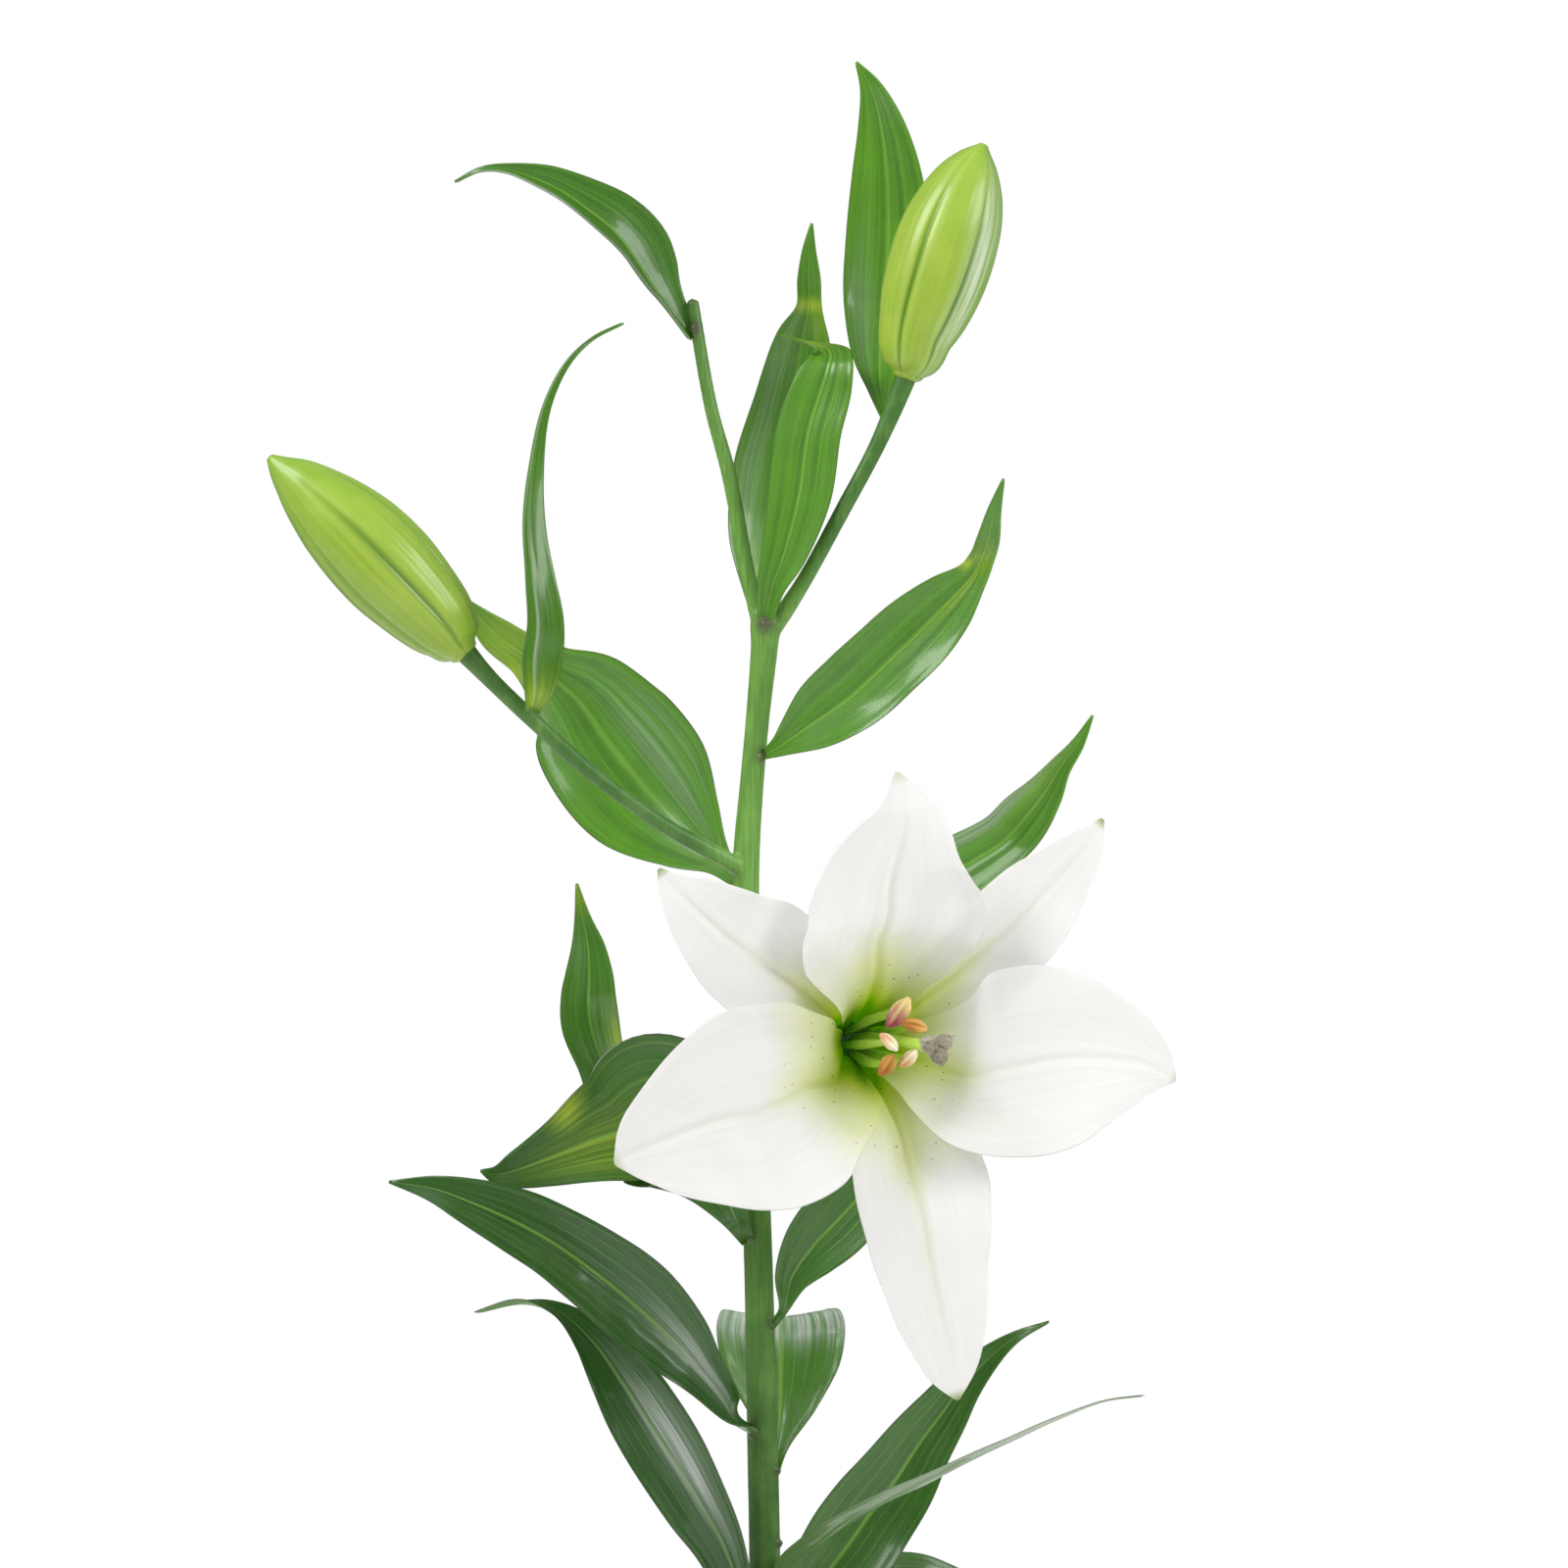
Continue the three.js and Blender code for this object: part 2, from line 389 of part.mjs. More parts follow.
// The six tepals grow side by side from the foot as a funnel, as [way out, radius], and then spread on stations
// like the leaves'. In the funnel, half of a tepal's arc round the flower's axis is `arc` degrees.
const funnel = {
  inner: [[-1, 4.8], [5, 6.8], [12, 9.2], [21, 14.2], [28, 20]],
  outer: [[-1, 6.6], [5, 8.8], [12, 11.6], [20, 16.8]],
};
const tepals = [
  { name: "tepal_inner_top", ring: "inner", angle: 98, arc: [54, 59, 48],
    cup: [28, 16, 12, 10, 20], wave: 1.4, waves: 3,
    stations: [[36.8, 389.5, -68, 26], [38.7, 400.5, -73, 28.6], [38.6, 411.5, -75.5, 24.4],
      [41, 422.5, -76, 16.8], [42.2, 432.5, -74.5, 10], [38.6, 443.5, -71, 0.5]] },
  { name: "tepal_inner_left", ring: "inner", angle: 213, arc: [54, 50],
    cup: [34, 20, 12, 10, 14], wave: 1.2, waves: 2,
    stations: [[18.5, 354.6, -75.5, 22.6], [10.4, 349.3, -84.5, 27.6], [2, 346, -90.5, 28.8],
      [-8, 343.6, -97, 27.2], [-20, 339.4, -101, 21.8], [-31.6, 335, -104.6, 14.4],
      [-39.6, 331.8, -106, 7.2], [-43.6, 329, -106.5, 0.5]] },
  { name: "tepal_inner_right", ring: "inner", angle: -23, arc: [54, 50],
    cup: [30, 18, 12, 8, 10], wave: 1, waves: 2,
    stations: [[59, 356.6, -58, 22.4], [73, 358.6, -58.5, 27], [87.2, 360.6, -56, 25.8],
      [99.2, 360.3, -51, 20.2], [110, 358.7, -45.6, 12.4], [116.5, 356, -41.5, 5.6],
      [119.9, 353.6, -39, 0.5]] },
  { name: "tepal_outer_left", ring: "outer", angle: 150, arc: [34, 32],
    cup: [34, 18, 12, 10, 16], wave: 0.8, waves: 2,
    stations: [[15.5, 378, -65.5, 13.5], [8, 383.5, -75, 17], [0, 388.5, -82.5, 17.4],
      [-7.5, 393, -88.5, 15.6], [-15.5, 399.7, -92.5, 12.6], [-22.3, 406, -94.3, 8.6],
      [-27.4, 410.7, -94.5, 4.3], [-30.8, 415.3, -94, 0.5]] },
  { name: "tepal_outer_right", ring: "outer", angle: 42, arc: [34, 32],
    cup: [34, 18, 12, 10, 16], wave: 0.8, waves: 2,
    stations: [[55, 382.5, -49.6, 13], [66, 392.5, -51.6, 14.2], [75, 401, -52, 13.8],
      [82, 408.5, -51.5, 11.8], [88.5, 415.5, -50, 9], [95, 423.8, -47.4, 4.8],
      [98.7, 429.8, -45, 0.5]] },
  { name: "tepal_outer_low", ring: "outer", angle: 277, arc: [34, 32],
    cup: [34, 18, 12, 10, 16], wave: 0.8, waves: 2,
    stations: [[42, 340, -56.6, 16.5], [45, 327, -62, 20], [47, 314.5, -65, 19.8],
      [48.8, 302.5, -66.3, 18], [51.2, 289.5, -66, 15.2], [54, 276.5, -64, 11.2], [55.3, 267, -61.8, 6.6],
      [56.5, 260.3, -60, 0.5]] },
];

function tepalRows({ ring, angle, arc, cup, stations }) {
  const inward = spoke(angle).negate();
  const tubeRows = funnel[ring].map(([out, radius], i, all) => {
    const look = inward.clone().addScaledVector(axis, 0.2 * i);
    const turn = evenly(arc, i / (all.length - 1));
    const [half, middle] = [radius * Math.sin(radians(turn)), radius * Math.cos(radians(turn))];
    return [...inFlower(out, middle, angle).toArray(), half, turn, ...look.toArray()];
  });
  const freeRows = stations.map(([x, z, depth, half], i) => {
    const t = i / (stations.length - 1);
    const look = axis.clone().addScaledVector(inward, 0.6 * (1 - t));
    return [...sight(x, z, depth).toArray(), half, evenly(cup, t), ...look.toArray()];
  });
  return [...tubeRows, ...freeRows];
}

// Stamens: a filament from the funnel's floor to an anther, whose two ends are given as [x, z, depth]. The
// sixth anther lies behind the first, where the photo doesn't show it.
const stamens = [
  { angle: 130, radius: 2.6, ends: [[36.5, 369.8, -66], [42, 377, -67]], colour: 0xc98a86 },
  { angle: 20, radius: 1.9, ends: [[40.6, 370.4, -70.5], [47, 368.6, -69]], colour: 0xc8863c },
  { angle: 195, radius: 1.7, ends: [[34.3, 366.8, -70], [38.6, 362.6, -72]], colour: 0xe3cf94 },
  { angle: 255, radius: 2.1, ends: [[34, 355.6, -68], [37.6, 360.6, -66]], colour: 0xd09440 },
  { angle: 310, radius: 1.8, ends: [[39.9, 358, -66], [44.1, 361.9, -65]], colour: 0xd9a877 },
  { angle: 75, radius: 1.6, ends: [[38, 372.8, -56], [40.8, 375.8, -56]], colour: 0xd0a060 },
];

piece("pot", potGeometry(), COLOUR.clay, 0.85);

// The bulb: a rounded body of fleshy scales, whose tips stand out a little from its surface.
const bulbRoute = [
  [0, 0, BULB.foot, 10], [0, 0, BULB.foot + 5, 20], [0, 0, BULB.foot + 18, BULB.radius],
  [0, 0, BULB.foot + 32, 20], [0, 0, BULB.foot + 42, 11], [0, 0, BULB.top, 5],
];
const SCALES = { count: 5, twist: 9, height: 0.06 }; // rows of scales, their twist and how far they rise
function scales(angle, t) {
  return 1 + SCALES.height * Math.cos(SCALES.count * angle + SCALES.twist * t) * Math.sin(Math.PI * t);
}
piece("bulb", tube(bulbRoute, { sides: 20, steps: 10, relief: scales }), COLOUR.bulb, 0.6);

// The soil: it fills the pot, mounds a little at the stem, and its surface is lumpy.
const MOUND = 4; // how far the soil's middle stands above its edge
const POT_CORNER = 3; // the inside corner at the pot's floor, which the soil leaves free
function soilSolid() {
  const [rings, spokes] = [7, 30];
  const floor = POT.floor + GAP;
  const edge = innerRadius(SOIL_TOP) - 2 * GAP;
  const lump = (r, a) => {
    const heaps = 1.3 * Math.sin(0.31 * r * Math.cos(a) + 1) * Math.cos(0.27 * r * Math.sin(a));
    return heaps + 0.8 * Math.sin(7 * a + 0.4 * r) * Math.min(1, r / 30);
  };
  const points = [vec(0, 0, SOIL_TOP + MOUND)];
  for (let i = 1; i <= rings; i++)
    for (let j = 0; j < spokes; j++) {
      const [r, a] = [(edge * i) / rings, (2 * Math.PI * j) / spokes];
      const mound = MOUND * (1 - (i / rings) ** 2);
      const height = SOIL_TOP + mound + (i < rings ? lump(r, a) : 0);
      points.push(vec(r * Math.cos(a), r * Math.sin(a), height));
    }
  const foot = innerRadius(floor) - POT_CORNER - 2 * GAP;
  for (let j = 0; j < spokes; j++) {
    const a = (2 * Math.PI * j) / spokes;
    points.push(vec(foot * Math.cos(a), foot * Math.sin(a), floor));
  }
  points.push(vec(0, 0, floor));
  const at = (i, j) => 1 + (i - 1) * spokes + (j % spokes);
  const triangles = [];
  for (let j = 0; j < spokes; j++) {
    triangles.push(0, at(1, j), at(1, j + 1), points.length - 1, at(rings + 1, j + 1), at(rings + 1, j));
    for (let i = 1; i <= rings; i++)
      triangles.push(at(i, j), at(i + 1, j), at(i + 1, j + 1), at(i, j), at(i + 1, j + 1), at(i, j + 1));
  }
  return solid(closedGeometry(points, triangles));
}
const bulbClear = solid(tube(bulbRoute, { sides: 20, steps: 10, relief: scales, grow: GAP }));
piece("soil", geometryOf(largest(soilSolid().subtract(bulbClear).subtract(stemClear))), COLOUR.soil, 0.95);

piece("stem", geometryOf(stem), COLOUR.stem, 0.5);

for (const leaf of leaves) {
  const body = solid(blade({ rows: loft(leaf), fold: leaf.fold }, leaf.steps));
  piece(leaf.name, geometryOf(largest(body.subtract(stemClear))), COLOUR.leaf, 0.4);
}

// A closed bud on [x, z, depth, radius]: six tepals pressed together, with a furrow between each two.
const FURROW = { depth: 0.07, width: 0.35 }; // as a share of the radius, and of the way between two furrows
function furrowed(turn) {
  return (angle, t) => {
    const apart = Math.sin(3 * (angle + radians(turn))) / FURROW.width;
    return 1 - FURROW.depth * Math.exp(-(apart ** 2)) * Math.sin(Math.PI * Math.min(1, 0.12 + t));
  };
}
const buds = [
  { name: "bud_right", turn: 30,
    route: [[41.8, 559.4, -8, 4.6], [42.3, 561.4, -8.1, 7.4], [43, 564.6, -8.2, 9.4], [44, 570, -8.4, 11],
      [46.6, 578, -8.7, 13.4], [50, 588, -9, 14.9], [53.2, 598, -9, 15], [56.4, 607, -9, 13.6],
      [59.6, 616, -9, 10.2], [62, 622, -9, 6], [63.8, 626, -9, 1.6]] },
  { name: "bud_left", turn: 12,
    route: [[-87.8, 478.8, -13, 4.6], [-89.4, 480.6, -13, 7.4], [-91.4, 483.4, -13.2, 9.4],
      [-94.8, 487.4, -13.6, 11.4], [-101.8, 494.8, -14.4, 13.4], [-108.8, 502, -15.2, 14.6],
      [-117, 510.4, -16, 14.3], [-124.4, 517.4, -16.8, 12.7], [-130, 522.6, -17.4, 10.6],
      [-136, 528, -18, 7.6], [-140.6, 531.8, -18.4, 4.4], [-144, 535, -18.8, 1.4]] },
];
for (const { name, turn, route } of buds) {
  const body = solid(tube(route.map(placed), { sides: 24, steps: 12, relief: furrowed(turn) }));
  piece(name, geometryOf(largest(body.subtract(stemClear))), COLOUR.bud, 0.4);
}

for (const tepal of tepals) {
  const sheet = { ...tepal, rows: tepalRows(tepal), fold: TEPAL_FOLD, thick: TEPAL_THICK, near: TEPAL_NEAR };
  const body = solid(blade(sheet, 18, 6));
  piece(tepal.name, geometryOf(largest(body.subtract(stemClear))), COLOUR.tepal, 0.5);
}

// Pistil: ovary and style as [way out of the flower, way above its axis, radius], and a stigma of three
// lobes round its end, each as [way out, way off the pistil's end, radius].
const pistilRoute = [
  [0.3, 0, 1.6], [4, 0, 2], [14, 0.7, 2], [19, 1, 1.5], [40, 0, 1.5], [56, -1.2, 1.8],
];
const pistilRows = pistilRoute.map(([out, off, radius]) => [...inFlower(out, off, 90).toArray(), radius]);
const pistil = (grow) => solid(tube(pistilRows, { sides: 8, steps: 10, grow, lean: vec(0, 0, 1) }));
piece("pistil", geometryOf(pistil(0)), COLOUR.pistil, 0.45);

const lobeRoute = [[56, 0.4, 1.8], [58.4, 1.8, 2.5], [59.4, 3.6, 2.2], [59.2, 4.8, 1]];
function lobe(angle) {
  const drop = spoke(90).multiplyScalar(pistilRoute.at(-1)[1]);
  const rows = lobeRoute.map(([out, off, radius]) => [...inFlower(out, off, angle).add(drop).toArray(), radius]);
  return tube(rows, { sides: 8, steps: 5 });
}
const lobes = joined([156, 33, 290].map(lobe));
piece("stigma", geometryOf(largest(lobes.subtract(pistil(GAP)))), COLOUR.stigma, 0.8);

// A filament of [radius] at its root, its bow and its meeting with the anther, and the anther's body as
// [share of its length, way out, share of its radius].
const filamentRadii = [1, 1.4, 0.8];
const antherBody = [[0, -0.5, 0.35], [0.2, 0, 0.82], [0.5, 0.2, 1], [0.8, 0, 0.82], [1, -0.5, 0.35]];
stamens.forEach(({ angle, radius, ends, colour }, i) => {
  const [a, b] = ends.map((end) => sight(...end));
  const middle = a.clone().add(b).multiplyScalar(0.5);
  const root = inFlower(0.4, 3.3, angle);
  const meet = middle.clone().addScaledVector(axis, -radius - GAP - 0.4);
  const bow = root.clone().lerp(meet, 0.45).addScaledVector(spoke(angle), 1);
  const stalk = [root, bow, meet].map((p, k) => [...p.toArray(), filamentRadii[k]]);
  const thread = tube(stalk, { sides: 6, steps: 6, lean: vec(0, 0, 1) });
  piece(`filament_${i + 1}`, thread, COLOUR.filament, 0.45);
  const point = (t, out) => a.clone().lerp(b, t).addScaledVector(axis, out);
  const body = antherBody.map(([t, out, share]) => [...point(t, out).toArray(), share * radius]);
  piece(`anther_${i + 1}`, tube(body, { sides: 8, steps: 6, lean: axis.clone() }), colour, 0.7);
});

export default potted;
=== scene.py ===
# %% [markdown]
# # A potted oriental lily
# One leafy stem stands in a clay pot of compost. It carries an open white flower that looks at the viewer,
# two closed green buds, and a bare stalk whose flower is gone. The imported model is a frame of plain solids,
# each at its real place. This lesson grows a finer piece over each of them, on the same lines, so nothing
# is fitted by eye.

from functools import partial

import bpy
import numpy as np
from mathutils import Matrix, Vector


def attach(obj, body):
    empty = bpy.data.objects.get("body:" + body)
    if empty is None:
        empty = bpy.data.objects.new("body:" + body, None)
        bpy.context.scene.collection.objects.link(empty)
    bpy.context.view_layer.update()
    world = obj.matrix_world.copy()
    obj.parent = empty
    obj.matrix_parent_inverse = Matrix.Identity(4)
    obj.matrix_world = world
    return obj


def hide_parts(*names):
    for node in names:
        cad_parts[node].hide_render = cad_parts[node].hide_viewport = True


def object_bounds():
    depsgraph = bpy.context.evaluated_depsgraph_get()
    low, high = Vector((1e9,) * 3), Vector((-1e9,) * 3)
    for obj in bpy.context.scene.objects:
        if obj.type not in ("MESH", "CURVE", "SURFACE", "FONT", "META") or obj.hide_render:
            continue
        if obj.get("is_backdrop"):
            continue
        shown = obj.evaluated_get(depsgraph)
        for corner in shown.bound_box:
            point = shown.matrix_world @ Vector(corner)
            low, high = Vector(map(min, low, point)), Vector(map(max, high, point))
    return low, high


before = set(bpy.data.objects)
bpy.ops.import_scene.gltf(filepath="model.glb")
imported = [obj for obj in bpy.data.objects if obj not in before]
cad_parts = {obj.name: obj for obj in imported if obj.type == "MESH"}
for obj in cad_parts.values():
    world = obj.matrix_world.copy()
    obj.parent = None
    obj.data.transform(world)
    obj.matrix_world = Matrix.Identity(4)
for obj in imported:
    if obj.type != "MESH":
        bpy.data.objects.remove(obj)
cad_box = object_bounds()
print("solids in the frame:", len(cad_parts))

# %% [markdown]
# ## Places
# A plant has no flat faces to measure from, so each place is read where a camera would see it: x and z on
# the plane of the stem, and a depth behind that plane. Moving a point along its own line of sight changes
# how near it is, and not where it shows. The eye stands 1.6 m in front of the stem and 440 mm above the
# ground. All sizes are millimetres.

# %% Lines of sight and directions
MM = 0.001
EYE = {"x": 5.7, "z": 440, "distance": 1600}


def sight(x, z, depth):
    """A point seen at x, z, at its own depth: its distance from the eye's axis grows as its way from the
    eye does."""
    share = (EYE["distance"] + depth) / EYE["distance"]
    at_x, at_z = EYE["x"] + (x - EYE["x"]) * share, EYE["z"] + (z - EYE["z"]) * share
    return np.stack([at_x, depth + 0 * x, at_z], axis=-1)


def facing(turn, lift):
    """A direction from two angles in degrees: turned to the viewer's right, and lifted above level."""
    a, e = np.radians(turn), np.radians(lift)
    return np.stack([np.sin(a) * np.cos(e), -np.cos(a) * np.cos(e), np.sin(e)], axis=-1)


def unit(vectors):
    """Each vector divided by its own length."""
    return vectors / np.linalg.norm(vectors, axis=-1, keepdims=True)


print("a place 100 mm before the stem, seen at x 50:", sight(50.0, 440.0, -100.0).round(1))

# %% [markdown]
# ## Curves
# Everything here grew along a curve. A Bezier or a NURBS path would need handles for each leaf. A
# Catmull-Rom curve needs only the places that it goes through, and its centripetal form never loops or
# overshoots, so the width and the cup of a leaf can ride on it as extra columns beside its place.

# %% A smooth course through rows of numbers
NEAR = 0.004


def along(rows, t):
    """Rows of numbers, whose first three are a point, at shares t of their course. Knots lie as far apart
    as the square root of the way between two rows, and each value is a mix of a mix of a mix of the four
    nearest rows."""
    rows = np.asarray(rows, float)
    full = np.vstack([2 * rows[0] - rows[1], rows, 2 * rows[-1] - rows[-2]])
    steps = np.maximum(1e-4, np.sqrt(np.linalg.norm(np.diff(full[:, :3], axis=0), axis=1)))
    knots = np.concatenate([[-steps[0], 0], np.cumsum(steps[1:])])
    u = np.asarray(t, float) * knots[-2]
    k = np.clip(np.searchsorted(knots[1:-1], u) - 1, 0, len(rows) - 2)
    near = [full[k + i] for i in range(4)]
    at = [knots[k + i][:, None] for i in range(4)]
    u = u[:, None]

    def mix(p, q, i, j):
        return (p * (at[j] - u) + q * (u - at[i])) / (at[j] - at[i])

    ab, bc, cd = mix(near[0], near[1], 0, 1), mix(near[1], near[2], 1, 2), mix(near[2], near[3], 2, 3)
    return mix(mix(ab, bc, 0, 2), mix(bc, cd, 1, 3), 1, 2)


def heading(rows, t, near=NEAR):
    """The direction of a course at shares t: from a place just before to one just after. A wider step
    smooths it."""
    return unit((along(rows, np.minimum(1, t + near)) - along(rows, np.maximum(0, t - near)))[:, :3])


def evenly(values, t):
    """Straight steps through evenly spaced values, column by column."""
    values = np.asarray(values, float).reshape(len(values), -1)
    places = np.linspace(0, 1, len(values))
    return np.stack([np.interp(t, places, column) for column in values.T], axis=-1)


print("middle of a bend:", along([[0, 0, 0], [10, 0, 5], [20, 0, 0]], np.array([0.5])).round(2))

# %% [markdown]
# ## From grids to meshes
# Each surface is a grid of points, worked out as whole arrays. A grid that closes on itself, or two grids
# that share their rim, need a list that says which point of the grid is which vertex. The UV map keeps the
# grid's own numbers, so that a pattern can follow the surface across such a seam.

# %% Faces, UV map and painted values
def quads(grid):
    """The four corners of each cell of a grid of numbers, in an order that faces out."""
    return np.stack([grid[:-1, :-1], grid[:-1, 1:], grid[1:, 1:], grid[1:, :-1]], axis=-1).reshape(-1, 4)


def add_piece(name, points, parts):
    """A mesh object from points in millimetres. Parts are pairs of faces and their corners' UVs."""
    mesh = bpy.data.meshes.new(name)
    faces = [face for corners, _ in parts for face in corners.tolist()]
    mesh.from_pydata((points * MM).tolist(), [], faces)
    uv = np.concatenate([uvs.reshape(-1, 2) for _, uvs in parts]).astype(np.float32)
    mesh.uv_layers.new(name="skin").data.foreach_set("uv", uv.ravel())
    mesh.polygons.foreach_set("use_smooth", np.ones(len(faces), bool))
    piece = bpy.data.objects.new(name, mesh)
    bpy.context.scene.collection.objects.link(piece)
    return piece


def paint(piece, title, values):
    """Stores one number for each vertex, for a material to read by its title."""
    piece.data.attributes.new(title, "FLOAT", "POINT").data.foreach_set("value", values.astype(np.float32))


def dress(piece, nodes, material):
    """Gives a finished piece its material, rides it on the only body and lets it stand for its solids."""
    piece.data.materials.append(material)
    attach(piece, "root")
    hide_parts(*nodes)
    piece.data.calc_loop_triangles()
    print(piece.name, len(piece.data.loop_triangles), "triangles")


# %% [markdown]
# ## Thin sheets
# A leaf and a petal are the same thing: a thin sheet that is cupped and folded along its midrib. A
# subdivided plane with a Solidify modifier would give it one even thickness and a square edge. Here both
# skins are worked out, so the sheet thins towards its margins, its veins stand in on one side and out on
# the other, and its edge is closed.

# %% The sheet
# CROWD is how far the steps across crowd, 0 to 1. LEAST is the least half width in millimetres and the
# least bend in radians. END is the share of the length that rounds off at each end, and FRILL how many
# times as often the frill turns as the wave.
CROWD = 0.7
LEAST = {"half": 0.12, "bend": 0.02}
END = 0.012
FRILL = 3.7


def wrinkle(seed, t, v, length, half, size):
    """Soft unevenness in millimetres: the mean of six sine waves, 12 to 40 mm long, in directions drawn at
    random, times a size."""
    rng = np.random.default_rng(seed)
    turn, phase = rng.uniform(0, 2 * np.pi, (2, 6, 1, 1))
    wave = rng.uniform(12, 40, (6, 1, 1))
    way = t * length * np.cos(turn) + v * half * np.sin(turn)
    return size / 6 * np.sin(2 * np.pi * way / wave + phase).sum(axis=0)


def sheet(name, rows, fold, thick, veins, steps=110, across=28, wave=0, waves=2, frill=0, soft=0.5, seed=0,
          near=NEAR):
    """A closed sheet on rows of [x, y, z, half width, cup, facing x, y, z]. Across it, v runs from -1 to 1,
    in steps that crowd at the midrib and the margins. The section is an arc that turns by the cup from
    midrib to margin, plus a fold, plus sine waves at the margins, plus the wrinkle. Each skin lies half the
    thickness, and the height of its veins, to its own side, and both shrink to nothing round the rim, where
    they share their vertices."""
    t = np.linspace(0, 1, steps + 1)[:, None]
    s = np.linspace(-1, 1, across + 1)
    v = s - CROWD * np.sin(2 * np.pi * s) / (2 * np.pi)
    row = along(rows, t[:, 0])
    ahead = heading(rows, t[:, 0], near)
    up = unit(row[:, 5:8] - ahead * (ahead * row[:, 5:8]).sum(axis=1, keepdims=True))
    half = np.maximum(LEAST["half"], row[:, 3:4])
    bend = np.maximum(LEAST["bend"], np.radians(row[:, 4:5]))
    crease = np.tan(np.radians(fold))

    def rise(q):
        return half * (1 - np.cos(bend * q)) / np.sin(bend) + crease * (np.hypot(half * q, 1) - 1)

    side = half * np.sin(bend * v) / np.sin(bend)
    phase = np.where(v > 0, 0, 2)
    swing = wave * v**2 * np.sin(2 * np.pi * waves * t + phase)
    swing = swing + frill * v**6 * np.sin(2 * np.pi * FRILL * waves * t + 2 * phase)
    length = np.linalg.norm(np.diff(row[:, :3], axis=0), axis=1).sum()
    lift = rise(v) - rise(1) + (swing + wrinkle(seed, t, v, length, half, soft)) * np.sin(np.pi * t)
    middle = row[:, None, :3] + np.cross(ahead, up)[:, None] * side[..., None]
    middle = middle + up[:, None] * lift[..., None]
    out = np.cross(np.gradient(middle, axis=1), np.gradient(middle, axis=0))
    out = unit(out + 1e-9 * up[:, None])
    out = np.where((out * up[:, None]).sum(axis=-1, keepdims=True) < 0.05, up[:, None], out)
    rim = np.sqrt(1 - v**16) * np.sqrt(np.clip(np.minimum(t, 1 - t) / END, 0, 1))
    body = (thick["middle"] + (thick["margin"] - thick["middle"]) * v**2) / 2
    above, below = veins(t, v, half)
    upper = middle + out * ((body + above) * rim)[..., None]
    lower = middle - out * ((body + below) * rim)[..., None]
    points = np.vstack([upper.reshape(-1, 3), lower[1:-1, 1:-1].reshape(-1, 3)])
    face = np.arange(upper[..., 0].size).reshape(upper.shape[:2])
    back = face.copy()
    back[1:-1, 1:-1] = face.size + np.arange((steps - 1) * (across - 1)).reshape(steps - 1, across - 1)
    uv = np.stack(np.broadcast_arrays((v + 1) / 2, t), axis=-1).reshape(-1, 2)
    corners = quads(face)
    parts = [(corners, uv[corners]), (quads(back)[:, ::-1], uv[corners][:, ::-1])]

    def both(values):
        values = np.broadcast_to(values, face.shape)
        return np.concatenate([values.ravel(), values[1:-1, 1:-1].ravel()])

    under = np.concatenate([np.zeros(face.size), np.ones(len(points) - face.size)])
    piece = add_piece(name, points, parts)
    paint(piece, "under", under)
    return piece, {"t": both(t), "v": both(v), "half": both(half)}


# %% [markdown]
# ## Round bodies
# Stems, buds, anthers and the bulb are round bodies on a bent axis. A curve with a bevel would do for a
# plain stalk, but a bud needs furrows and an anther a groove, so each ring's radius is a formula of the
# angle and the height.

